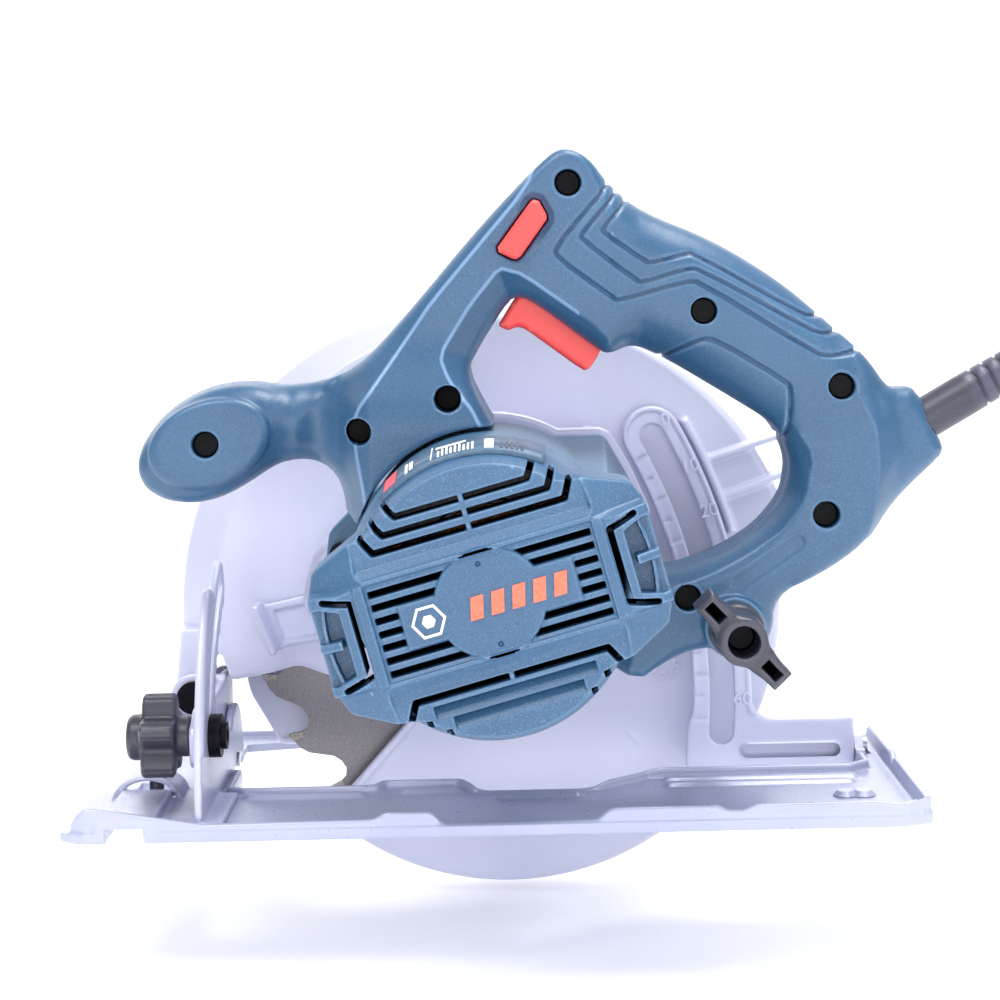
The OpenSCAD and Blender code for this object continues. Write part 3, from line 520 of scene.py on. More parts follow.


# colours after the name are base, light, dark; bare metals have base, dark
# blue, cap and knob plastics paint shade into their recesses; the handle blue also paints shade
# along each groove and a highlight along its crease
BLUE = plastic("blue_nylon", "2b5679", "8db0d8", "254e70",
               rough=0.36, grain=0.8, spec=0.62, shade_recesses=True, shade_grooves_light_crease=True)
CAP_BLUE = plastic("cap_nylon", "315b80", "94b8dc", "2b5276",
                   rough=0.38, grain=1.3, spec=0.6, shade_recesses=True)
HOUSING_BLUE = plastic("housing_nylon", "33607f", "88aed2", "2d5776",
                       rough=0.38, grain=1.1, spec=0.6)
RED = plastic("red_plastic", "f54a47", "ff9f9c", "ea403f", rough=0.32, grain=0.5)
KNOB = plastic("knob_plastic", "33333f", "7d7e92", "2b2b36",
               rough=0.36, grain=0.9, spec=0.6, shade_recesses=True)
BLACK = plastic("black_plastic", "060607", "1a1a1d", "040405", rough=0.55, grain=0.6, spec=0.12)
RUBBER = plastic("cord_rubber", "2f2f40", "70718c", "282836", rough=0.4, grain=0.7, spec=0.6)
ALUMINIUM = painted_metal("painted_aluminium", "c4c6de", "f4f5fd", "b8bad4",
                          rough=0.36, metallic=0.18, cast=0.6)
GUARD_PAINT = painted_metal("guard_paint", "c9cbe0", "f4f5fd", "bfc1d8",
                            rough=0.38, metallic=0.12, cast=0.6)
BASE_PAINT = painted_metal("base_paint", "b3b7cf", "eef0fa", "a9adc7",
                           rough=0.32, metallic=0.20, cast=0.3)
STEEL = bare_metal("zinc_steel", "b9bac4", "8d8e9a", rough=0.3)
DARK_STEEL = bare_metal("black_oxide_steel", "26252b", "17171b", rough=0.45)
COPPER = bare_metal("copper_wire", "c8794a", "8c4a2a", rough=0.32, brushed=(30, 1, 1), scale=1200)
LAMINATION = bare_metal("lamination_steel", "77757a", "4e4c52", rough=0.4,
                        brushed=(1, 60, 1), scale=600)
CARBON = bare_metal("brush_carbon", "2e2c2e", "1c1b1c", rough=0.6)
CARBIDE = bare_metal("tungsten_carbide", "9a9490", "6d6864", rough=0.28)
BLADE = blade_metal()

# CAD nodes by material; any other node is plain steel
NODE_MATERIALS = (
    (BLADE, "saw_blade"),
    (CARBIDE, "carbide_teeth"),
    (LAMINATION, "stator_core armature_core"),
    (COPPER, "stator_windings armature_windings commutator"),
    (CARBON, "carbon_brushes"),
    (BLACK, "brush_holders handle_screws air_baffle cooling_fan switch_module cord_clamp "
            "rating_label"),
    (ALUMINIUM, "depth_bracket hinge_bracket bevel_quadrant rear_pivot_lug gear_case guard_lever"),
    (BASE_PAINT, "base_plate base_rivets"),
    (GUARD_PAINT, "upper_guard lower_guard"),
    (HOUSING_BLUE, "motor_housing"),
    (CAP_BLUE, "motor_cap"),
    (BLUE, "handle_shell_near handle_shell_far"),
    (RED, "badge_inlay trigger lock_off_button"),
    (KNOB, "bevel_lock_knob depth_lock_lever guide_lock_screw"),
    (RUBBER, "cord_guard power_cord"),
    (DARK_STEEL, "bevel_lock_bolt housing_screws case_screws depth_pivot_pin depth_clamp_bolt"),
)


def dress_nodes():
    by_name = {name: material for material, names in NODE_MATERIALS for name in names.split()}
    for name, obj in frame["nodes"].items():
        obj.data.materials.clear()
        obj.data.materials.append(by_name.get(name, STEEL))


# ---------------------------------------------------------------- handle, outlines in (x, z)
HANDLE_OUTLINE = [
    (-116, 118), (-113, 127), (-105, 135), (-95, 140.5), (-82, 142.5), (-69, 141.8), (-56, 143),
    (-44, 148.5), (-30, 163), (-5, 192), (15, 212), (21.5, 216.2), (29.5, 213), (36, 204),
    (47, 195), (69, 186), (90, 172.5), (103.2, 160.9), (115.9, 148.7), (124.6, 136.5),
    (127.6, 126), (128.1, 116.3), (126, 105), (121.5, 96.4), (114, 87), (101, 78.4), (86, 72),
    (85, 58), (76, 53), (66, 56.5), (53, 53.5), (38, 44), (-3.6, 84), (-49, 96), (-51, 112),
    (-59, 118), (-72, 117.5), (-91, 107), (-106, 106), (-113.5, 110.5)]
HANDLE_OPENING = [
    (0, 124), (-10.6, 145), (-6, 153.5), (3.5, 168), (9.2, 168.8), (32.2, 151), (35, 150),
    (43, 152.8), (53, 148.2), (78, 132.6), (88, 126), (92.7, 114), (90, 102.5), (81.5, 92.5),
    (70, 85.5), (52, 79.5), (48, 84), (30, 115)]
FRONT_KNOB = [
    (-116.1, 118.2), (-115.1, 121.7), (-113.4, 124.9), (-107.1, 132.9), (-95.6, 140.1),
    (-86.8, 142.1), (-81.3, 142.3), (-75.8, 141.3), (-71.3, 138.2), (-69.5, 133.7),
    (-70.2, 127.2), (-73, 121.4), (-77.6, 115.1), (-84.9, 110), (-91.8, 106.6), (-99.6, 105.2),
    (-107, 106.3), (-110.8, 108.3), (-113.7, 110.3), (-115.9, 114.6)]
CORD_SOCKET = [
    (119.9, 139.2), (125, 136.9), (132.5, 137), (136.2, 132.3), (142.4, 117.3), (141.4, 114.4),
    (121.5, 96.4), (116.2, 88.7), (112.5, 100.5), (113.1, 126.4)]
# the raised face; beyond it the shell falls away
HANDLE_FACE = [
    (16.9, 222), (9.7, 203.2), (-21.4, 167.2), (-29.2, 156), (-46.2, 132.4), (-45.5, 121.3),
    (-43, 107.1), (-42, 84), (-3.6, 84), (-2, 112), (-5.3, 126.4), (-8.9, 134.1), (-14.1, 140.5),
    (-16.5, 144.7), (-18.3, 149.5), (-17.4, 153.2), (-8.8, 166.6), (0.6, 178.1), (8, 176),
    (34, 157), (40, 140), (80, 118), (92, 128), (97.5, 119), (98.3, 114), (95.6, 102.7),
    (88.4, 93.1), (76.9, 85.8), (66.3, 80.3), (55.5, 76.2), (42.8, 72.3), (38, 40), (80, 40),
    (92, 66), (112, 74), (118, 100), (119.5, 112), (118.6, 125), (113, 136.5), (112, 175),
    (30, 222)]
GROOVES = [soften(points, 1, closed=False) for points in (
    [(40, 211), (34.3, 202.9), (33, 200.4), (27.8, 194.9), (18.7, 184.3), (18.7, 181.2),
     (36.4, 167.8), (38.3, 166.8), (59.5, 172.4), (63.9, 172.3), (100.4, 148.7), (106, 147.7),
     (113.3, 149.4), (122, 153)],
    [(42, 207), (37.1, 200.3), (35.8, 198.2), (27.1, 188.6), (26.7, 186.7), (44.1, 173),
     (46, 172.4), (59.9, 176.5), (64, 176.4), (99, 156.3), (103.3, 155), (106.8, 155.2),
     (116, 158.5)],
    [(45, 204), (40.2, 197.7), (38.9, 195.6), (33.7, 190), (34, 188.4), (47, 179),
     (48.9, 178.6), (59.7, 181.2), (62.3, 181.5), (96.5, 161.4), (101.6, 160.4), (110, 163)],
    [(48, 147), (52.4, 149.2), (64.5, 154.3), (68.6, 153.9), (91, 140.1), (92.2, 137.2),
     (91.7, 127.4), (90, 121.8), (87, 116)])]
HANDLE_SCREWS = [(22.9, 204.6), (65.1, 163.1), (108.2, 138.3), (102.3, 97.9), (58, 72.6),
                 (-16.4, 137.4), (-44.6, 127.7), (-93.6, 124.2)]
SCREW_WELL = 4.15       # radius
LOCK_KEY = [(11.9, 199.6), (13.8, 199.0), (16.1, 194.6), (16.1, 193.0), (7.7, 181.5),
            (6.3, 180.6), (5.0, 180.7), (0.4, 183.0), (0.2, 184.7), (10.8, 198.8)]
TRIGGER_WELL = [(5.2, 168.4), (9, 168.6), (11.2, 167.3), (32, 151.2), (31.9, 149.6),
                (29, 145.5), (27, 144.5), (8.5, 158.4), (5.9, 159.1), (3, 157.9),
                (-0.2, 159.6), (2.2, 163.3)]
TRIGGER = [(3.4, 165.4), (7.4, 170.9), (13.5, 170.8), (34.2, 155.4), (32.1, 149.6),
           (29.2, 145.4), (27, 144.4), (8.5, 158.4), (5.9, 159.1), (3, 157.9), (-0.2, 159.6),
           (2.0, 163.0)]


def zeros(points):
    return np.zeros(len(points))


# Painted shade: high inside the handle's screw wells and just past their walls, on both halves'
# middle band
def screw_well_shade(points):
    x, y, z = points.T
    wall = reduce(np.minimum, [np.hypot(x - a, z - b) - SCREW_WELL for a, b in HANDLE_SCREWS])
    return np.clip(3.0 - wall * 7.0, 0, 9) * (np.abs(y - HANDLE_MID) < 30.0)


# Painted shade: high close to each groove's line, for the dark line painted along it
def groove_shade(points):
    x, _, z = points.T
    dist = reduce(np.minimum, [polyline(x, z, groove) for groove in GROOVES])
    return np.clip(1.25 - dist * 1.3, 0, 1.2)


def crease_highlight(points):
    """Painted highlight: high along the edge of the raised face, on the near side's middle part.
    """
    x, y, z = points.T
    dist = np.abs(polygon(x, z, HANDLE_FACE, 1, keep=0.12))
    return np.clip(1.2 - dist * 1.1, 0, 1.2) * ((y < -104) * (x > -50) * (x < 26))


def from_cord(x, y, z):
    """Distance from the cord's axis, and position along it."""
    dx, dy, dz = x - CORD_START[0], y - CORD_START[1], z - CORD_START[2]
    along = dx * CORD_DIRECTION[0] + dz * CORD_DIRECTION[2]
    return np.sqrt(np.maximum(dx * dx + dy * dy + dz * dz - along * along, 0)), along


def handle():
    grid = Grid((-117, -126, 43), (144, -50, 217), (0.55, 0.95, 0.55))
    x, y, z = grid.axes
    side = np.abs(y - HANDLE_MID)
    loop = cut(polygon(x, z, HANDLE_OUTLINE, 2), polygon(x, z, HANDLE_OPENING, 2, keep=0.2))
    # zones, 1 inside: arm to the -x knob, rear grip, neck over the motor, low +x leg
    arm = step(x, -53, -66) * step(x, -118, -116)
    grip = step(x, 27, 46) * step(z, 116, 136) * step(x, 122, 106)
    neck = step(z, 160, 126) * step(x, -52, -40) * step(x, 22, 4)
    leg = step(z, 118, 104) * step(x, 40, 60)
    half_width = 19.4 - 6.0 * arm - 1.6 * grip + 9.0 * neck
    face = polygon(x, z, HANDLE_FACE, 1, keep=0.12)
    fall = np.maximum(face, 0) * (1 - arm) * (1 - grip)
    half_width = half_width - 0.86 * np.minimum(fall, 11)
    # shallow pill-shaped recess, and a dish round the lock key
    pill = segment(x, z, (74.2, 76.9), (93.0, 89.3))
    half_width = half_width - 0.55 * step(pill, 2.55, 1.95)
    key = polygon(x, z, LOCK_KEY)
    dish = step(key, 2.6, 1.2) * (1 - step(x + 0.7 * z, 150, 142))
    half_width = half_width - 0.9 * dish
    body = rounded(loop, side - half_width, 3.2 + 10.5 * grip + 9.0 * arm + 4.2 * leg)

    body = weld(body, rounded(polygon(x, z, FRONT_KNOB, 1), side - 15.6, 6.5), 5.0)
    # raised oval on the knob, turned 19 degrees
    cos, sin = math.cos(math.radians(19)), math.sin(math.radians(19))
    off_x, off_z = x + 92.6, z - 124.6
    long, short = off_x * cos + off_z * sin, -off_x * sin + off_z * cos
    oval = (np.sqrt((long / 20.0) ** 2 + (short / 13.6) ** 2) - 1) * 14.5
    body = weld(body, rounded(oval, side - 18.4, 2.6), 0.9)
    socket_half = 10.5 + 5 * step(x, 134, 116)
    socket = rounded(polygon(x, z, CORD_SOCKET, 1, keep=0.12), side - socket_half, 8.0)
    body = weld(body, socket, 3.0)
    body = weld(body, prism(circle(x, z, DEPTH_CLAMP, 9.6), y, -112.4, -52), 2.0)
    groove = reduce(np.maximum, [np.exp(-(polyline(x, z, points) / 0.62) ** 2)
                                 for points in GROOVES])
    body = body + 1.15 * groove

    body = cut(body, circle(x, z, MOTOR, 44.2), fillet=1.2)
    for place in HANDLE_SCREWS:
        body = cut(body, circle(x, z, place, SCREW_WELL), y - HANDLE_MID + 12.0, fillet=0.35)
    body = cut(body, key - 0.3, y + 96, fillet=0.3)
    body = cut(body, key - 0.45, -y - 79, fillet=0.3)
    body = cut(body, polygon(x, z, TRIGGER_WELL) - 0.7,
               rectangle(x, z, 20.3, 163.5, 17.5, 10.0, angle=math.radians(-37.8)),
               slab(y, -97.3, -78.7))
    cord_radius, along = from_cord(x, y, z)
    body = cut(body, cord_radius - 7.1, -along - 14, fillet=0.6)
    body = cut(body, circle(x, z, DEPTH_CLAMP, 4.3))

    near = trim(body, y + 88.06, 0.7)
    far = cut(body, y + 87.94, fillet=0.7)
    # both shells carry painted shade along each groove; the near one also in its screw wells, with
    # a painted highlight along its crease
    build("handle_near_shell", grid, near, "saw_body", BLUE, "handle_shell_near",
          attributes={"recess_shade_depth": screw_well_shade, "groove_dark": groove_shade, "crease_light": crease_highlight})
    build("handle_far_shell", grid, far, "saw_body", BLUE, "handle_shell_far",
          attributes={"recess_shade_depth": zeros, "groove_dark": groove_shade, "crease_light": zeros})


def lock_key():
    grid = Grid((-1, -111, 178), (18, -64, 202), (0.4, 0.8, 0.4))
    x, y, z = grid.axes
    body = plate(polygon(x, z, LOCK_KEY) + 0.1, y, -110.2, -65.8, 1.6)
    build("lock_off_key", grid, body, "lock_button", RED, "lock_off_button")


def trigger():
    grid = Grid((-3, -98, 142), (36, -78, 172), (0.45, 0.6, 0.45))
    x, y, z = grid.axes
    body = plate(polygon(x, z, TRIGGER, 1, keep=0.15), y, -96.5, -79.5, 1.9)
    build("trigger_blade", grid, body, "trigger_body", RED, "trigger")


# ---------------------------------------------------------------- motor end cap, motor axes
CAP_OCTAGON = [(-50, -14), (-47, -21), (-31, -28), (31, -28), (47, -21), (50, -14), (50, 14),
               (47, 21), (31, 28), (-31, 28), (-47, 21), (-50, 14)]
# right-hand bends of the trapezoid vent lines: inner x, inner z, outer x, outer z
CAP_VENTS = ((28.2, 21.9, 30.6, 26.4), (24.2, 26.0, 26.7, 30.2), (19.4, 30.2, 21.9, 33.9))
CAP_SLOT_PITCH = 3.87
CAP_SLOT_HALF = 1.02


def cap_relief(x, z):
    """How far the cap's face lies behind its foremost plane."""
    side, rise = np.abs(x), np.abs(z)
    radius = np.hypot(x, z)
    behind = np.clip((rise - 15.4) * 0.95, 0, 3.0) + np.maximum(rise - 19, 0) * 0.07
    behind = behind * (1 - step(side, 33.5, 36.5))
    corner = np.maximum(0.9 * side + 0.44 * rise - 37.0, 0) * 0.62
    flank = np.maximum(side - 42.0, 0) * 0.5
    dome = (np.maximum(radius - 37.0, 0) * 2.3 * step(rise, 25.5, 28.5)
            + np.where((radius > 35.9) & (rise > 26), 0.7, 0))
    behind = np.maximum(np.maximum(behind, corner * step(rise, 13.2, 15.6)),
                        np.maximum(flank, dome))
    panel = np.maximum(side - 33.4, rise - 14.0)
    badge = np.minimum(radius - 15.6, np.maximum(side - 25.3, np.abs(z + 0.35) - 6.2))
    uprights = np.maximum(np.abs(side - 34.9) - 1.4, rise - 14.6)
    ledges = np.maximum(np.abs(rise - 14.9) - 0.55, side - 33.5)
    # outline, depth (negative stands proud), half-width of its edge
    for outline, depth, edge in ((panel, 0.9, 0.25), (badge, -0.55, 0.25),
                                 (uprights, -0.45, 0.3), (ledges, -0.35, 0.2)):
        behind = behind + depth * step(outline, edge, -edge)
    return behind.astype(F32)


# Painted shade: grows with depth behind the cap's face, darkening its slots, vents and scoops
def cap_recess_shade(points):
    x, y, z = points.T
    depth = y - CAP_FACE - cap_relief(x.astype(F32), z.astype(F32)) - 1.1
    return (depth * (np.hypot(x, z) < 40.0 + 14 * (np.abs(z) < 15))
            * ((np.abs(x) < 39.5) | (y > -179)))


def cap_slots(x, z):
    """Rows of level slots either side of the badge."""
    side, radius = np.abs(x), np.hypot(x, z)
    rows = []
    for k in range(-3, 4):
        start = 15.9 - radius if abs(k) >= 2 else 25.7 - side
        band = np.abs(z - (k * CAP_SLOT_PITCH - 0.4)) - CAP_SLOT_HALF
        rows.append(np.maximum(band, np.maximum(start, side - 32.6)))
    return reduce(np.minimum, rows)


def end_cap():
    grid = Grid((-51, -188.4, -44), (51, -140, 44), (0.42, 0.5, 0.42))
    x, y, z = grid.axes
    side, radius = np.abs(x), np.hypot(x, z)
    relief = cap_relief(x, z)
    face = relief - (y - CAP_FACE)
    barrel = radius - (40.4 + 2.4 * step(y, -184, -160))
    octagon = rounded(polygon(x, z, CAP_OCTAGON, 1, keep=0.06), y + 158, 1.5)
    body = rounded(face, np.minimum(barrel, octagon), 1.0)
    body = np.maximum(body, y + 141.0)
    body = cut(body, cap_slots(x, z), y + 176, fillet=0.25)

    # bent vents above the badge and one below, each split at x = 0
    for sign, vents in ((1, CAP_VENTS), (-1, CAP_VENTS[:1])):
        for x0, z0, x1, z1 in vents:
            bends = [(-x1, sign * z1), (-x0, sign * z0), (x0, sign * z0), (x1, sign * z1)]
            vent = polyline(x, z, bends) - 0.98
            body = cut(body, np.maximum(vent, 0.75 - side), y + 174, fillet=0.25)
    # lower louvres: deep at the upper edge, running out level below
    for x0, z0, x1, z1 in CAP_VENTS[1:]:
        ends = rectangle(side, z, x1 - 0.6, -z1 + 0.9, 0.95, 1.3)
        body = cut(body, ends, y + 176, fillet=0.25)
        below = z + z0 - 1.6
        depth = 3.4 * (1 - np.clip(-below / 3.7, 0, 1))
        body = cut(body, side - x0 + 0.3, below, -(z + z0 + 2.1), (y - CAP_FACE) - relief - depth)

    # side scoops: channel, pocket with a cross rib, inner wall
    channel = polyline(side, z, [(45.6, 12.6), (37.9, 10.4), (37.9, -10.9), (45.6, -13.3)]) - 0.95
    body = cut(body, channel, y + 172, fillet=0.25)
    pocket = polygon(side, z, [(52, 10.6), (47.6, 10.9), (41.6, 8.9), (41.6, -9.4),
                               (47.6, -11.5), (52, -11.2)])
    pocket = cut(pocket, np.abs(z + 0.2) - 1.25, 43.2 - side)
    body = cut(body, pocket, y + 180.5, fillet=0.35)
    wall = np.maximum(np.abs(radius - 47.4) - 0.5, np.abs(z) - 11.2)
    body = np.minimum(body, np.maximum(np.maximum(wall, face + 1.8), y + 172))
    # two dimples in the panel
    for level in (11.4, -12.1):
        dimple = np.sqrt((x + 0.3) ** 2 + (z - level) ** 2 + (y + 187.6) ** 2) - 0.8
        body = cut(body, dimple, fillet=0.2)
    hollow = np.minimum(radius - 37.5, polygon(x, z, CAP_OCTAGON) + 6.0)
    body = cut(body, prism(hollow, y, -174.0, -130))
    body = cut(body, radius - 40.4, -(y + 160))
    build("end_cap", grid, body, "saw_body", CAP_BLUE, "motor_cap",
          motor_axes=True, attributes={"recess_shade_depth": cap_recess_shade})


# ---------------------------------------------------------------- guards, outlines in (x, z)
# the upper guard lies above this line
GUARD_SKIRT = [
    (-135, 44.5), (-103.5, 44.5), (-100.8, 42.5), (-98.2, 33.8), (-86.3, 35.7), (-73.8, 38.9),
    (-64.3, 35.2), (-56, 33.5), (-40, 33), (-24, 34), (-16, 32.5), (16, 32.5), (40, 44),
    (66, 76), (120, 82), (140, 200), (-140, 200)]
GUARD_TONGUE = [(-99, 45), (-95, 24), (-88, 12), (-84, 4.6), (-52, 4.6), (-38, 20), (-28, 45)]
GUARD_LUG = [(-118.3, 30), (-116, 52), (-101, 52), (-101.5, 44.2), (-107.5, 37), (-107.5, 30)]


def from_spindle(x, z):
    """Radius and angle in degrees about the spindle."""
    off_x, off_z = x - SPINDLE[0], z - SPINDLE[1]
    return np.hypot(off_x, off_z), np.degrees(np.arctan2(off_z, off_x))


def upper_guard():
    grid = Grid((-119, -23, 3), (108, 16.6, 176), (0.8, 0.7, 0.8))
    x, y, z = grid.axes
    radius, angle = from_spindle(x, z)
    angle = np.where(angle < -90, angle + 360, angle)
    # the rim swells towards -x
    swell = 11.0 * np.sin(np.clip((angle - 88) / 62, 0, 1) * math.pi / 2) * step(angle, 86, 100)
    rim = 105.4 + swell * step(y, -16.2, -3.5)
    body = plate(radius - rim, y, -17, 16, 3.4)
    body = cut(body, radius - (rim - 2.6), slab(y, -14.6, 13.6))
    # rolled bead close to the outer edge
    bead = np.hypot(radius - (rim - 0.9), (y - 9.5) * 0.9) - 1.5
    body = weld(body, np.maximum(bead, 6 - z * 0.2), 0.8)
    skirt = polygon(x, z, GUARD_SKIRT, 1, keep=0.12)
    tongue = polygon(x, z, GUARD_TONGUE, 1, keep=0.1)
    wall = plate(np.minimum(skirt, tongue), y, 13.6, 16, 0.8)
    body = trim(body, skirt, 1.0)
    body = np.minimum(body, np.maximum(wall, radius - 104))
    body = weld(body, tube(segment(x, z, (-82.5, 6.3), (-53, 6.3)), y - 14.4, 1.5), 0.8)
    # two sloping shelves at the +x end, and an arc rib about the depth pivot
    for start, end in (((72, 108.6), (99.5, 116.9)), ((77, 95.5), (101.6, 103.6))):
        shelf = plate(segment(x, z, start, end) - 1.1, y, -19.4, -3, 0.8)
        body = weld(body, cut(shelf, radius - 100.4, -14.8 - y), 1.4)
    off_x, off_z = x - DEPTH_PIVOT[0], z - DEPTH_PIVOT[1]
    sweep = np.degrees(np.arctan2(off_z, off_x))
    arc = np.maximum(np.abs(np.hypot(off_x, off_z) - 199.8) - 1.5,
                     np.maximum(sweep - 28.4, 15.8 - sweep) * 3.4)
    body = weld(body, plate(arc, y, -20.6, -15, 1.3), 0.8)
    lug = np.minimum(circle(x, z, DEPTH_PIVOT, 6.8), polygon(x, z, GUARD_LUG))
    body = weld(body, np.maximum(plate(lug, y, -13, 1, 0.8), 99.8 - radius), 1.2)
    body = weld(body, plate(circle(x, z, SPINDLE, 22), y, -17, -7.6, 0.6), 0.6)
    body = cut(body, prism(circle(x, z, SPINDLE, 16.02), y, -30, -9.2))
    body = cut(body, circle(x, z, SPINDLE, 13))
    body = cut(body, circle(x, z, DEPTH_PIVOT, 4.05))
    body = cut(body, prism(circle(x, z, DEPTH_CLAMP, 12), y, -20, -10))
    build("guard_upper_shell", grid, body, "saw_body", GUARD_PAINT, "upper_guard")


def dot_ring(distance, angle, radius, count, dot):
    turn = (angle / (2 * math.pi) * count) % 1
    return np.hypot(distance - radius, (turn - 0.5) * 2 * math.pi * radius / count) - dot


def lower_guard():
    grid = Grid((-75, -13.2, -42), (99, 11.6, 100), (0.75, 0.6, 0.75))
    x, y, z = grid.axes
    radius, angle = from_spindle(x, z)
    middle, half_sweep = -54.0, 78.0
    beyond = np.abs((angle - middle + 180) % 360 - 180) - half_sweep
    wedge = beyond * np.maximum(radius, 20) * math.pi / 180
    rim = 98.0
    body = plate(radius - rim, y, -11.2, 11, 2.4)
    body = cut(body, radius - (rim - 2.0), slab(y, -9.2, 9))
    body = trim(body, wedge, 0.8)
    # raised border along the two straight edges
    border = plate(np.abs(wedge + 1.4) - 1.3, y, -12.6, -9.3, 0.9)
    body = weld(body, border + np.maximum(radius - 96, 0) + np.maximum(24 - radius, 0), 0.8)
    body = cut(body, radius - 30, slab(y, 8, 12))
    body = np.minimum(body, plate(circle(x, z, SPINDLE, 27), y, -11.2, -9.2, 0.5))
    # cast marks: short radial ribs (degrees, start and end radius), then rings of dots
    for degrees, start, end in ((-100, 70, 76), (-84, 69, 77), (-66, 72, 80), (-47, 62, 69)):
        rib = segment(x, z, polar(SPINDLE, start, degrees), polar(SPINDLE, end, degrees)) - 0.45
        body = weld(body, plate(rib, y, -11.75, -10, 0.4), 0.5)
    off_x, off_z = x - 55.5, z - 36.5
    around = np.hypot(off_x, off_z), np.arctan2(off_z, off_x)
    dots = np.minimum(dot_ring(*around, radius=5.6, count=14, dot=0.75),
                      dot_ring(*around, radius=2.8, count=8, dot=0.6))
    body = weld(body, prism(dots, y, -11.8, -10), 0.3)
    body = cut(body, prism(circle(x, z, SPINDLE, 22.06), y, -20, -5))
    build("guard_lower_shell", grid, body, "lower_guard_body", GUARD_PAINT, "lower_guard")


def guard_lever():
    grid = Grid((-91, -35, 26), (31, -17.2, 88), (0.7, 0.45, 0.7))
    x, y, z = grid.axes
    radius = np.hypot(x, z - SPINDLE[1])
    ring = np.abs(radius - 27.6) - 1.95
    arm = polygon(x, z, [(-86.6, 60.6), (-68, 64.6), (-26, 67), (-26, 52), (-68.6, 47.4),
                         (-81, 45.2)], 1, keep=0.05)
    arm = np.maximum(arm, 26.0 - radius)
    body = plate(np.minimum(ring, arm), y, -19.9, -17.55, 0.7)
    tab = segment(x, z, (-87.3, 61.0), (-81.4, 46.4)) - 1.35
    body = weld(body, plate(tab, y, -34, -17.6, 1.0), 2.2)
    pocket = polygon(x, z, [(-82, 58.6), (-78.5, 48.6), (-66, 50.4), (-30, 55), (-30, 62.5),
                            (-66, 61.5)])
    body = cut(body, prism(pocket, y, -25, -19.2), fillet=0.6)
    build("guard_lift_lever", grid, body, "guard_lever_body", ALUMINIUM, "guard_lever")


# ---------------------------------------------------------------- gear case and motor housing
CASE_OUTLINE = [
    (-69, 62), (-69.5, 68), (-65, 83), (-53, 92), (-22, 112), (-8, 115.5), (13, 114), (26, 118),
    (36, 113), (38, 101), (42, 84), (42, 60), (36, 42), (20, 36), (-20, 36), (-34, 44), (-60, 52)]
CASE_SCREWS = [(-58, 74), (-14, 104), (27, 97), (35, 49)]
# in motor axes: the screw ears shared by case and housing, and the case's ledge
EARS = [(-50, 12), (41, 22), (47.2, -14), (-48, -18)]
CASE_LEDGE = [(10, 20), (10, 32), (28.5, 32.2), (48.3, 27.2), (52.4, 12), (55, -6), (48, -8),
              (34, 0)]
# centre, radius, y range
CASE_BORES = ((SPINDLE, 23.9, -33, -16), (MOTOR, 8.4, -34.2, -20), (SPINDLE, 11.02, -42, -32),
              (SPINDLE, 6, -46, -40), (MOTOR, 14.02, -47, -36), (MOTOR, 9, -46, -30))
HOUSING_FLANGE = [
    (-57, 8), (-52, 20), (-34, 30), (10, 31), (29, 29.4), (46.4, 24.9), (50, 11), (52.6, -6),
    (53, -16), (46, -23), (20, -30), (-30, -30), (-50, -22), (-56, -10)]


def gear_case():
    grid = Grid((-71, -46, 29), (51, -17, 131), (0.7, 0.6, 0.7))
    x, y, z = grid.axes
    outline = np.minimum(polygon(x, z, CASE_OUTLINE, 1, keep=0.15), circle(x, z, SPINDLE, 25.6))
    for ear in EARS:
        outline = np.minimum(outline, circle(x, z, from_motor(*ear), 6))
    body = plate(outline, y, -44.9, -20.4, 3.6)
    cos, sin = math.cos(MOTOR_TILT), math.sin(MOTOR_TILT)
    off_x, off_z = x - MOTOR[0], z - MOTOR[1]
    motor_x, motor_z = off_x * cos + off_z * sin, -off_x * sin + off_z * cos
    ledge = np.minimum(polygon(motor_x, motor_z, CASE_LEDGE, 1, keep=0.12),
                       np.hypot(motor_x, motor_z) - 44.8)
    body = weld(body, plate(ledge, y, -44.9, -40.6, 1.4), 0.6)
    for centre, radius in [(SPINDLE, 25.6)] + [(place, 4.2) for place in CASE_SCREWS]:
        body = np.minimum(body, prism(circle(x, z, centre, radius), y, -21, -17.1))
    for centre, radius, low, high in CASE_BORES:
        body = cut(body, prism(circle(x, z, centre, radius), y, low, high))
    for place in CASE_SCREWS:
        body = cut(body, circle(x, z, place, 2.06), fillet=0.3)
        body = cut(body, prism(circle(x, z, place, 3.9), y, -50, -42.9), fillet=0.3)
    for ear in EARS:
        body = cut(body, prism(circle(x, z, from_motor(*ear), 2.06), y, -46, -37))
    build("gear_housing_casting", grid, body, "saw_body", ALUMINIUM, "gear_case")


def motor_housing():
    """Built in motor axes."""
    grid = Grid((-58, -141.5, -44), (58, -44.5, 44), (0.75, 0.9, 0.75))
    x, y, z = grid.axes
    radius = np.hypot(x, z)
    body = plate(radius - 43 + 2.4 * step(y, -74, -50), y, -140.9, -45.1, 0.8)
    flange = polygon(x, z, HOUSING_FLANGE, 1, keep=0.06)
    body = weld(body, plate(flange, y, -56, -45.1, 1.6), 1.5)
    # stepped bore: radius, y range
    for bore, low, high in ((40.4, -150, -58), (34, -60, -54), (30, -56, -51.2), (14.1, -60, -40)):
        body = cut(body, radius - bore, slab(y, low, high))
    for ear in EARS:
        body = cut(body, prism(circle(x, z, ear, 4.1), y, -80, -56), fillet=0.3)
        body = cut(body, prism(circle(x, z, ear, 2.06), y, -60, -40))
    # corner block that carries the octagon of the cap back to the flange
    block = polygon(x, z, [(20, 20), (29, 29.2), (46.2, 24.7), (49.8, 11), (52, -5), (40, -5)])
    block = plate(block + 0.062 * np.maximum(-62 - y, 0), y, -140.9, -54, 0.8)
    body = weld(body, np.maximum(block, 40.4 - radius), 0.8)
    build("motor_shell", grid, body, "saw_body", HOUSING_BLUE, "motor_housing",
          motor_axes=True)


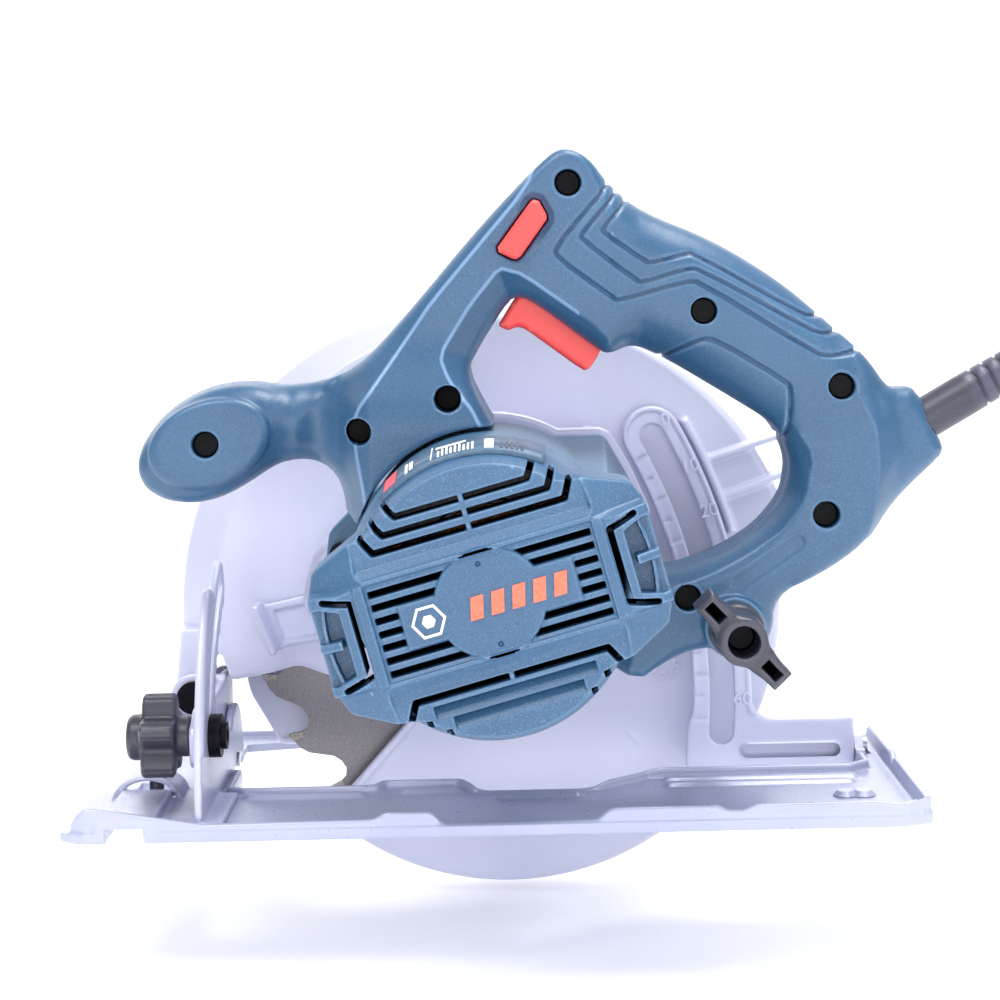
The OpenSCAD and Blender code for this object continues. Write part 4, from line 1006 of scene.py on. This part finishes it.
# ---------------------------------------------------------------- base
# plan outline in (x, y); heights of the near rim as (x, z), from +x to -x
BASE_OPENING = [
    (-97, -30), (-93, -30), (-93, -59), (-46, -59), (-43, -52), (-16, -52), (-10, -64),
    (27, -64), (48, -46), (121.8, -46), (121.8, 27), (-97, 27)]
NEAR_RIM = [
    (133.5, 7.4), (132.5, 9), (123, 7.6), (116, 8.6), (77, 8.3), (74, 6.6), (68, 6.6),
    (65.5, 8.3), (32, 8.1), (27.5, 4.6), (-21, 4.3), (-24.5, 8.2), (-39, 8.2), (-42, 6.1),
    (-97, 5.6), (-131, 11.4), (-134, 11.4), (-142, 2)]
BASE_RIDGES = (((-86, -66), (-50, -66)), ((54, -53.5), (116, -53.5)), ((54, -61), (114, -61)),
               ((-34, -62.5), (-18, -62.5)), ((-2, -72), (22, -72)))


def near_rim_height(x):
    """Rim height at each x, averaged over seven stations."""
    stations = np.linspace(-142, 133.5, 600)
    xs, heights = zip(*NEAR_RIM[::-1])
    height = np.pad(np.interp(stations, xs, heights), 3, mode="edge")
    height = np.convolve(height, np.ones(7) / 7, "valid")
    return np.interp(x[:, 0, 0], stations, height).astype(F32)[:, None, None]


def base():
    grid = Grid((-142, -112, 0), (133.5, 38, 11.8), (0.8, 0.7, 0.45))
    x, y, z = grid.axes
    plan = polygon(x, y, [(-142, -112), (133.5, -112), (133.5, 38), (-140, 38)], 1, keep=0.03)
    opening = polygon(x, y, BASE_OPENING, 1, keep=0.08)
    body = cut(prism(plan, z, 0, 3), opening)
    # turned-up lip round the near part of the opening
    lip_height = (5.4 - 1.6 * step(x, -14, -8) * step(x, 34, 26) + 0.9 * step(x, 44, 52)
                  - 2.5 * step(y, -30, -20))
    lip = plate(np.abs(opening - 1.1) - 1.1, z, 0, lip_height, 0.9)
    body = weld(body, np.where(y < -24, lip, 9.0).astype(F32), 1.2)
    for start, end in BASE_RIDGES:
        body = weld(body, tube(segment(x, y, start, end), z - 2.4, 2.3), 1.6)
    # rims along the near (-y), +x and far (+y) edges
    near = rounded(slab(y, -112, -109.3), np.maximum(z - near_rim_height(x), -z), 1.1)
    body = weld(body, np.maximum(near, plan), 1.6)
    end_height = np.interp(y[0, :, 0], [-112, -50, -44, -40, 6, 12, 32, 38],
                           [9, 9, 5, 9, 9, 4, 4, 4]).astype(F32)[None, :, None]
    end = rounded(slab(x, 130.8, 133.5), np.maximum(z - end_height, -z), 1.1)
    body = weld(body, np.maximum(end, plan), 1.6)
    far_top = np.maximum(z - 5.4, -z) + np.maximum(np.abs(x + 4) - 126, 0)
    body = weld(body, np.maximum(rounded(slab(y, 35.6, 38), far_top, 1.0), plan), 1.4)
    # half-round tunnel over the rip-guide channel, and the raised pad that runs under it
    oval = np.hypot((x + 121) / 12.0, (z - 2.4) / 8.3)
    shell = cut((oval - 1) * 8.3, (oval - 0.8) * 8.3)
    body = weld(body, np.maximum(shell, slab(y, -64, -48) + np.maximum(-z, 0)), 0.8)
    pad = rectangle(x, y, -121, -88.5, 8.6, 23.4)
    body = weld(body, plate(pad, z, 0, 6.9, 1.6), 2.2)
    # rectangular cuts: centre and half size in plan, then the bound on z
    for outline, bound in (((-121, -96, 6, 21), z - 4.7), ((-121, -58, 6, 20), z - 3.0),
                           ((-101.7, -11, 4.9, 15), -z - 5), ((124.4, -12, 3.9, 5), 0.8 - z)):
        body = cut(body, rectangle(x, y, *outline), bound)
    body = cut(body, circle(x, y, (-119, -56), 2.6), 3 - z)
    body = cut(body, z + 0.02)
    for hole_x in (110, 116):
        body = cut(body, circle(x, y, (hole_x, -80), 2.05))
    build("base_pressing", grid, body, "base", BASE_PAINT, "base_plate")


# ---------------------------------------------------------------- bevel quadrant and hinge
def quadrant_point(radius, degrees):
    """(y, z) about the tilt axis, with angles rising from -y."""
    angle = math.radians(degrees)
    return (TILT_AXIS[0] - radius * math.cos(angle), TILT_AXIS[1] + radius * math.sin(angle))


# outline in (y, z)
QUADRANT = (
    [(-22, 3), (-108, 3)] + [quadrant_point(95.8, a) for a in range(10, 47, 6)]
    + [quadrant_point(*at) for at in ((93, 48.5), (86, 51), (83.5, 55), (83.5, 65), (79, 69),
                                      (70, 69.5))]
    + [quadrant_point(66.5, a) for a in range(66, 27, -6)]
    + [quadrant_point(62, 22), (-44, 17), (-26, 20)])


def bevel_quadrant():
    grid = Grid((-99.6, -108.5, 2.9), (-90, 8.5, 92), (0.45, 0.8, 0.8))
    x, y, z = grid.axes
    radius = np.hypot(y - TILT_AXIS[0], z - TILT_AXIS[1])
    bolt_y, bolt_z = BEVEL_BOLT[0] - TILT_AXIS[0], BEVEL_BOLT[1] - TILT_AXIS[1]
    slot_radius = math.hypot(bolt_y, bolt_z)
    start = math.degrees(math.atan2(bolt_z, -bolt_y))
    outline = np.minimum(polygon(y, z, QUADRANT, 1, keep=0.15), radius - 20)
    body = plate(outline, x, -99.5, -96.9, 0.9)
    border = plate(np.abs(outline + 2.2) - 1.6, x, -99.5, -96.3, 0.8)
    border = np.maximum(border, 8.4 - np.abs(radius - slot_radius))
    body = weld(body, np.maximum(border, 26 - z), 0.6)
    body = weld(body, plate(rectangle(x, y, -95, -86, 4.5, 22), z, 3.01, 5.0, 0.7), 1.2)
    angle = np.degrees(np.arctan2(z - TILT_AXIS[1], -(y - TILT_AXIS[0])))
    sweep = np.maximum(angle - start - 48.1, start - 3.1 - angle) * slot_radius * math.pi / 180
    body = cut(body, np.abs(radius - slot_radius) - 3.6, sweep, fillet=0.4)
    body = cut(body, radius - 2.5)
    body = np.maximum(body, 3.01 - z)
    # short degree marks beside the slot
    for degrees in range(0, 46, 5):
        reach = 10 if degrees % 15 == 0 else 8
        mark = segment(y, z, quadrant_point(slot_radius + 6, start + degrees),
                       quadrant_point(slot_radius + reach, start + degrees))
        body = body + 0.35 * np.exp(-(mark / 0.45) ** 2) * (x < -98.5)
    build("bevel_sector_plate", grid, body, "base", ALUMINIUM, "bevel_quadrant")


# outlines in (y, z) and (x, z)
HINGE_PLATE = [(-16.5, 2.2), (-7.5, 6), (-2, 14), (5, 19), (5, 34), (-6, 36), (-20, 34),
               (-60, 34), (-80, 37), (-93, 31), (-91, 19), (-80, 17), (-40, 14), (-22, 10)]
HINGE_CHEEK = [(-119, 20), (-119.5, 28), (-104, 36), (-100, 36), (-100, 19.4), (-116, 19.4)]


def hinge():
    grid = Grid((-120, -94, 0), (-99.8, 8.2, 38), (0.5, 0.7, 0.6))
    x, y, z = grid.axes
    outline = np.minimum(polygon(y, z, HINGE_PLATE, 1, keep=0.14), circle(y, z, TILT_AXIS, 4.9))
    body = plate(outline, x, -102.8, -100, 0.9)
    cheek = np.minimum(circle(x, z, DEPTH_PIVOT, 8), polygon(x, z, HINGE_CHEEK))
    for low, high in ((-17, -13.1), (1.1, 5)):
        body = weld(body, plate(cheek, y, low, high, 0.9), 0.8)
    body = weld(body, plate(rectangle(x, y, -109.6, -6, 9.6, 11), z, 19.4, 21.3, 0.7), 0.5)
    body = cut(body, slab(y, -13.08, 1.08), slab(x, -125, -103), 21.35 - z)
    body = cut(body, circle(x, z, DEPTH_PIVOT, 4.05))
    body = cut(body, circle(y, z, TILT_AXIS, 2.53))
    body = cut(body, circle(y, z, BEVEL_BOLT, 3.55))
    body = np.maximum(body, x + 100.0)
    build("tilt_hinge_plate", grid, body, "tilt_frame", ALUMINIUM, "hinge_bracket")


# ---------------------------------------------------------------- depth bracket
# ear outline in (y, z); scale numbers as (text, degrees about the depth pivot)
DEPTH_EAR = [(-21, 3), (-15, 1.5), (-7.5, 5), (-8, 12), (-12, 16), (-21, 17.5)]
SCALE_NUMBERS = (("0", 29.3), ("10", 23.9), ("20", 18.85), ("30", 13.8), ("40", 8.75),
                 ("50", 3.7), ("60", -1.1))


def depth_bracket():
    grid = Grid((35, -24.5, 0), (122, -3, 138), (0.55, 0.45, 0.55))
    x, y, z = grid.axes
    off_x, off_z = x - DEPTH_PIVOT[0], z - DEPTH_PIVOT[1]
    radius = np.hypot(off_x, off_z)
    angle = np.degrees(np.arctan2(off_z, off_x))

    def band(half, low, high):
        sweep = np.maximum(angle - high, low - angle) * DEPTH_RADIUS * math.pi / 180
        return np.maximum(np.abs(radius - DEPTH_RADIUS) - half, sweep)

    def band_end(half, degrees):
        return circle(x, z, polar(DEPTH_PIVOT, DEPTH_RADIUS, degrees), half)

    foot = np.minimum(rectangle(x, z, 93.8, 9.25, 27.8, 8.25, corner=4.8),
                      rectangle(x, z, 111, 9.25, 10.6, 8.25))
    outline = weld(np.minimum(band(10.4, -8.6, 28.6), band_end(10.4, 28.6)), foot, 9.0)
    body = plate(outline, y, -24, -21, 0.9)
    # raised border along the band, and a bead on the foot
    border = plate(np.abs(outline + 1.1) - 0.7, y, -24.35, -22, 0.35)
    body = weld(body, border + np.where(z < 19, 3, 0), 0.3)
    bead = tube(segment(x, z, (84, 6.5), (114, 6.5)), y + 23.6, 2.8)
    body = weld(body, np.maximum(bead, y + 18), 0.5)
    slot = np.minimum(band(4.3, -4.7, 28.5),
                      np.minimum(band_end(4.3, -4.7), band_end(4.3, 28.5)))
    body = cut(body, slot, fillet=0.5)
    # depth graduations inside the slot's arc, every second one longer
    for k in range(13):
        degrees = 27.0 - k * 2.53
        inset = 4.9 if k % 2 == 0 else 7.0
        mark = segment(x, z, polar(DEPTH_PIVOT, DEPTH_RADIUS - 9.4, degrees),
                       polar(DEPTH_PIVOT, DEPTH_RADIUS - inset, degrees))
        body = body + 0.4 * np.exp(-(mark / 0.42) ** 2) * (y < -22.5)
    ear = np.minimum(polygon(y, z, DEPTH_EAR, 1, keep=0.12), circle(y, z, TILT_AXIS, 4.9))
    body = weld(body, plate(ear, x, 118.6, 121.6, 0.7), 0.8)
    root = rectangle(y, z, -21.5, 9.25, 2.5, 8.25)
    body = np.minimum(body, plate(root, x, 118.6, 121.6, 0.9))
    body = cut(body, circle(y, z, TILT_AXIS, 2.53))
    build("depth_scale_bracket", grid, body, "tilt_frame", ALUMINIUM, "depth_bracket")


def scale_number(text, degrees):
    """Raised number outside the depth slot; the curve's sizes are in metres."""
    curve = bpy.data.curves.new("num_" + text, "FONT")
    curve.body = text
    curve.size = 0.0062
    curve.align_x = curve.align_y = "CENTER"
    curve.extrude = 0.00022
    curve.bevel_depth = 0.00006
    curve.bevel_resolution = 1
    curve.offset = 0.00003
    source = link_object("t", curve)
    depsgraph = bpy.context.evaluated_depsgraph_get()
    data = bpy.data.meshes.new_from_object(source.evaluated_get(depsgraph))
    bpy.data.objects.remove(source)
    data.name = "scale_number_" + text
    obj = link_object("scale_number_" + text, data)
    x, z = polar(DEPTH_PIVOT, DEPTH_RADIUS + 7.0, degrees)
    data.transform(Matrix.Translation((x / 1000, -0.02435, z / 1000))
                   @ Matrix.Rotation(math.radians(90), 4, "X")
                   @ Matrix.Rotation(math.radians(degrees) * 0.6, 4, "Z"))
    attach(obj, "tilt_frame", ALUMINIUM)


# ---------------------------------------------------------------- knobs, lever, cord
def bevel_knob():
    grid = Grid((-124.5, -100.5, 11), (-103, -67, 45), (0.45, 0.45, 0.45))
    x, y, z = grid.axes
    off_y, off_z = y - BEVEL_BOLT[0], z - BEVEL_BOLT[1]
    radius = np.hypot(off_y, off_z)
    angle = np.arctan2(off_z, off_y)
    # five lobes with fine knurling on their tips
    wave = np.cos(5 * (angle - math.radians(18)))
    lobes = 11.4 + 2.9 * wave
    lobes = lobes - 0.35 * np.abs(np.sin(angle * 30)) * (wave > 0.55)
    body = plate((radius - lobes) * 0.85, x, -118.5, -107.2, 1.6)
    body = weld(body, plate(radius - 7.4, x, -123.6, -115, 2.4), 1.2)
    body = weld(body, plate(radius - 6.5, x, -109, -103.1, 0.6), 1.0)
    body = cut(body, radius - 4.6, x + 121.8, fillet=0.4)
    body = cut(body, radius - 3.54, -x - 118.0)

    # painted shade: the dish and bore in the knob's face are painted black
    def recess_shade(points):
        px, py, pz = points.T
        dished = np.hypot(py - BEVEL_BOLT[0], pz - BEVEL_BOLT[1]) < 4.4
        return np.where(dished & (px < -114), 6.0, 0)
    build("bevel_knob_grip", grid, body, "bevel_knob", KNOB, "bevel_lock_knob",
          attributes={"recess_shade_depth": recess_shade})


# outline in (x, z)
THUMB_WING = [(-123.6, 13.6), (-114.4, 13.6), (-111.2, 19.6), (-111, 29.4), (-115.4, 30.8),
              (-119, 24.6), (-122.6, 30.8), (-127, 29.4), (-126.8, 19.6)]


def thumbscrew():
    grid = Grid((-128.5, -61.5, 4), (-109.5, -50.5, 31.5), (0.4, 0.4, 0.4))
    x, y, z = grid.axes
    radius = np.hypot(x + 119, y + 56)
    body = plate(polygon(x, z, THUMB_WING, 1), y, -58, -54, 1.5)
    body = weld(body, plate(radius - 4.8, z, 11.4, 16.5, 0.9), 1.2)
    thread = radius - 2.45 - 0.12 * np.sin(z * 2 * math.pi / 1.25)
    body = weld(body, prism(thread, z, 4.5, 13), 0.3)
    build("rip_thumbscrew", grid, body, "guide_screw", KNOB, "guide_lock_screw",
          attributes={"recess_shade_depth": zeros})


def lever_axes(x, z):
    """Along and across the wing, turned -47 degrees about the depth clamp."""
    cos, sin = math.cos(math.radians(-47)), math.sin(math.radians(-47))
    off_x, off_z = x - DEPTH_CLAMP[0], z - DEPTH_CLAMP[1]
    return off_x * cos + off_z * sin, -off_x * sin + off_z * cos


def depth_lever():
    grid = Grid((DEPTH_CLAMP[0] - 18, -140.4, DEPTH_CLAMP[1] - 18),
                (DEPTH_CLAMP[0] + 18, -112.6, DEPTH_CLAMP[1] + 18), (0.45, 0.5, 0.45))
    x, y, z = grid.axes
    along, across = lever_axes(x, z)
    radius = np.hypot(along, across)
    hub = plate(radius - 7.5, y, -140, -113.2, 1.4)
    half_width = 3.7 + 0.9 * step(np.abs(along), 14, 7)
    wing = np.maximum(np.abs(across) - half_width, np.abs(along) - 17.3)
    body = weld(hub, plate(wing, y, -139.2, -125.5, 1.8), 1.8)
    body = weld(body, plate(radius - 8.6, y, -119, -113.2, 0.8), 1.0)
    body = cut(body, radius - 4.9, y + 128, fillet=0.5)
    body = cut(body, np.abs(across) - 1.6, np.abs(np.abs(along) - 12.2) - 3.1, y + 131, fillet=0.5)
    body = cut(body, radius - 3.95)

    # painted shade: the socket and the two pockets are painted black
    def recess_shade(points):
        px, py, pz = points.T
        u, v = lever_axes(px, pz)
        socket = (np.hypot(u, v) < 4.7) & (py > -138.6)
        pocket = (np.abs(v) < 1.5) & (np.abs(np.abs(u) - 12.2) < 3.0) & (py > -138)
        return np.where(socket | pocket, 6.0, 0.0)
    build("depth_lever_wing", grid, body, "depth_lever", KNOB, "depth_lock_lever",
          attributes={"recess_shade_depth": recess_shade})


def cord():
    boot = [(6.6, -13.6), (6.75, -13.0), (6.75, 13.5)]
    for k in range(5):
        start, radius = 15 + k * 4.6, 6.7 - k * 0.14
        boot += [(radius, start), (radius, start + 3.1),
                 (radius - 0.75, start + 3.5), (radius - 0.75, start + 4.2)]
    boot += [(5.7, 38.6), (5.2, 39.7), (4.05, 39.9)]
    lathe("cord_relief_boot", boot, "saw_body", RUBBER, "cord_guard")
    lathe("mains_cord", [(3.6, -30), (3.98, -29.4), (4.0, 65.2), (3.6, 65.9)],
          "saw_body", RUBBER, "power_cord")


# ---------------------------------------------------------------- label and badge
def on_cap(degrees, y, radius):
    """Saw place from cylindrical coordinates about the motor."""
    angle = math.radians(degrees)
    x, z = from_motor(radius * math.cos(angle), radius * math.sin(angle))
    return (x, y, z)


def on_label(degrees, y, offset):
    """Place over the label, which tapers towards -y."""
    taper = 0.0 if y > -160 else -1.25 * min(1, (-160 - y) / 18.0)
    return on_cap(degrees, y, 43.62 + offset + taper)


def on_face(x, z, y):
    """Saw place from motor (x, z) and y."""
    saw_x, saw_z = from_motor(x, z)
    return (saw_x, y, saw_z)


def flat_plates(name, outlines, levels, place, material, replaces=None):
    """Thin closed plates between two levels; place maps (u, v, level) to the saw."""
    points, faces = [], []
    for outline in outlines:
        count, first = len(outline), len(points)
        points += [place(u, v, level) for level in levels for u, v in outline]
        faces.append(tuple(first + i for i in range(count)))
        faces.append(tuple(first + count + i for i in reversed(range(count))))
        for i in range(count):
            j = (i + 1) % count
            faces.append((first + j, first + i, first + count + i, first + count + j))
    attach(solid(name, points, faces), "saw_body", material, replaces)


def label_film(material, steps=40):
    """Film wrapped over the cap from 52 to 122 degrees."""
    points, faces = [], []
    for radius in (41.4, 43.6):
        for i in range(steps + 1):
            for y, drop in ((-178.0, 1.2), (-142.0, 0.0)):
                points.append(on_cap(52 + (122 - 52) * i / steps, y, radius - drop))
    outer = 2 * (steps + 1)
    for k in range(0, 2 * steps, 2):
        far = outer + k
        faces += [(k, k + 2, k + 3, k + 1), (far, far + 1, far + 3, far + 2),
                  (k, far, far + 2, k + 2), (k + 1, k + 3, far + 3, far + 1)]
    end = 2 * steps
    faces += [(0, 1, outer + 1, outer), (end, outer + end, outer + end + 1, end + 1)]
    attach(solid("data_plate", points, faces, smooth=True), "saw_body", material,
           "rating_label")


def label():
    film = printed("label_film", "3f5a74", "49667f")
    white = printed("label_white", "e8ecf2", "f7f9fd")
    red = printed("label_red", "e0485a", "ea5b68")
    dark = printed("label_dark", "2f4354", "37506a")
    label_film(film)
    # printed bars: start and end angle in degrees, then the y range
    white_bars = [(107.6, 108.8, -176, -158), (105.2, 106.9, -174, -160),
                  (97.2, 97.7, -176.5, -146), (83.5, 95.5, -160, -154)]
    white_bars += [(94.8 - k * 1.7, 93.9 - k * 1.7, -176, -165 + (k % 3) * 1.5)
                   for k in range(9)]
    white_bars.append((72.6, 76.2, -176, -158))
    dark_bars = [(70 - k * 2.0, 69 - k * 2.0, -175, -163 + (k % 2) * 3) for k in range(5)]
    for name, material, bars in (("data_plate_white", white, white_bars),
                                 ("data_plate_red", red, [(113.5, 119.5, -176.5, -150)]),
                                 ("data_plate_dark", dark, dark_bars)):
        outlines = [[(a, low), (b, low), (b, high), (a, high)] for a, b, low, high in bars]
        flat_plates(name, outlines, (0.22, 0.02), on_label, material)


def badge():
    """Plain badge: slanted bars and a six-sided ring round a small hexagon."""
    orange = printed("badge_orange", "f2674b", "fa7a60", rough=0.35)
    white = printed("badge_white", "e9edf0", "fbfcfd", rough=0.35)
    bars = []
    for k in range(5):
        left = -6.6 + k * 6.1
        bars.append([(left, -3.5), (left + 3.7, -3.5), (left + 5.4, 2.9), (left + 1.7, 2.9)])
    flat_plates("badge_bars", bars, (-188.45, -187.4), on_face, orange,
                "badge_inlay")
    centre = (-18.0, -0.3)
    ring = [[polar(centre, 5.1, a), polar(centre, 5.1, a + 60),
             polar(centre, 4.3, a + 60), polar(centre, 4.3, a)] for a in range(0, 360, 60)]
    ring.append([polar(centre, 2.0, a) for a in range(0, 360, 60)])
    flat_plates("badge_ring", ring, (-188.4, -187.4), on_face, white)


# ---------------------------------------------------------------- studio, metres
FLOOR_Z = -0.045


def camera():
    data = bpy.data.cameras.new("camera")
    obj = link_object("camera", data)
    obj.location = (0.00344, -0.833, 0.1774)
    obj.rotation_euler = (Matrix.Rotation(math.radians(90), 3, "X")
                          @ Matrix.Rotation(math.radians(-1.27), 3, "Z")).to_euler()
    data.lens = 82.8
    data.sensor_width = 36
    data.shift_x = -0.008
    data.shift_y = -0.230
    data.clip_start = 0.05
    data.clip_end = 20
    SCENE.camera = obj


def world():
    sky = bpy.data.worlds.new("world")
    SCENE.world = sky
    sky.use_nodes = True
    background = sky.node_tree.nodes["Background"]
    background.inputs["Color"].default_value = (0.93, 0.95, 1.0, 1)
    background.inputs["Strength"].default_value = 0.55


def floor():
    """Level sheet that curves up behind the saw; profile is (y, height)."""
    bend = 0.9
    profile = [(-3.0, 0.0)] + [(y, 0.0) for y in np.linspace(-1, bend, 8)]
    profile += [(bend + bend * math.sin(a), bend - bend * math.cos(a))
                for a in np.linspace(0.1, math.pi / 2, 14)]
    profile.append((1.8, 4.0))
    columns = np.linspace(-4, 4, 9)
    rows = len(profile)
    points = [(x, y, height + FLOOR_Z) for x in columns for y, height in profile]
    faces = [(i * rows + j, (i + 1) * rows + j, (i + 1) * rows + j + 1, i * rows + j + 1)
             for i in range(len(columns) - 1) for j in range(rows - 1)]
    data = bpy.data.meshes.new("floor")
    data.from_pydata(points, [], faces)
    data.polygons.foreach_set("use_smooth", [True] * len(faces))
    obj = link_object("floor", data)
    mat = Material("studio_floor")
    color = mat.mix(mat.ramp(mat.noise(scale=4, detail=2)),
                    (0.93, 0.93, 0.93, 1), (0.96, 0.96, 0.96, 1))
    mat.feed(mat.shader.inputs["Emission Color"], (1, 1, 1, 1))
    mat.feed(mat.shader.inputs["Emission Strength"], 0.24)
    data.materials.append(mat.finish(color, rough=0.75))


def area(name, location, target, size, power, color=(1, 1, 1)):
    light = bpy.data.lights.new(name, "AREA")
    light.shape = "RECTANGLE"
    light.size, light.size_y = size
    light.energy = power
    light.color = color
    obj = link_object(name, light)
    obj.location = location
    aim = Vector(target) - Vector(location)
    obj.rotation_euler = aim.to_track_quat("-Z", "Y").to_euler()


def studio():
    camera()
    world()
    floor()
    area("key", location=(-0.6, -0.9, 1.5), target=(0, -0.05, 0.08), size=(0.9, 0.6),
         power=15, color=(1, 0.99, 0.98))
    area("front", location=(0.1, -1.9, 0.25), target=(0, 0, 0.06), size=(2.4, 1.0),
         power=16, color=(0.97, 0.98, 1))
    area("fill", location=(1.3, -1.0, 0.7), target=(0, 0, 0.08), size=(0.9, 1.2),
         power=6, color=(0.93, 0.96, 1))
    area("top", location=(0.3, -0.1, 1.2), target=(0.02, -0.08, 0.15), size=(0.8, 0.5),
         power=12.5)
    area("rim", location=(-0.3, 1.3, 0.7), target=(0, 0, 0.1), size=(2.2, 1.2), power=8)
    view = SCENE.view_settings
    view.view_transform = "Standard"
    view.look = "None"
    view.exposure = 0.0
    view.gamma = 1.0


dress_nodes()
handle()
lock_key()
trigger()
end_cap()
upper_guard()
gear_case()
motor_housing()
lower_guard()
base()
bevel_quadrant()
depth_bracket()
for number in SCALE_NUMBERS:
    scale_number(*number)
hinge()
guard_lever()
bevel_knob()
thumbscrew()
depth_lever()
cord()
label()
badge()
studio()
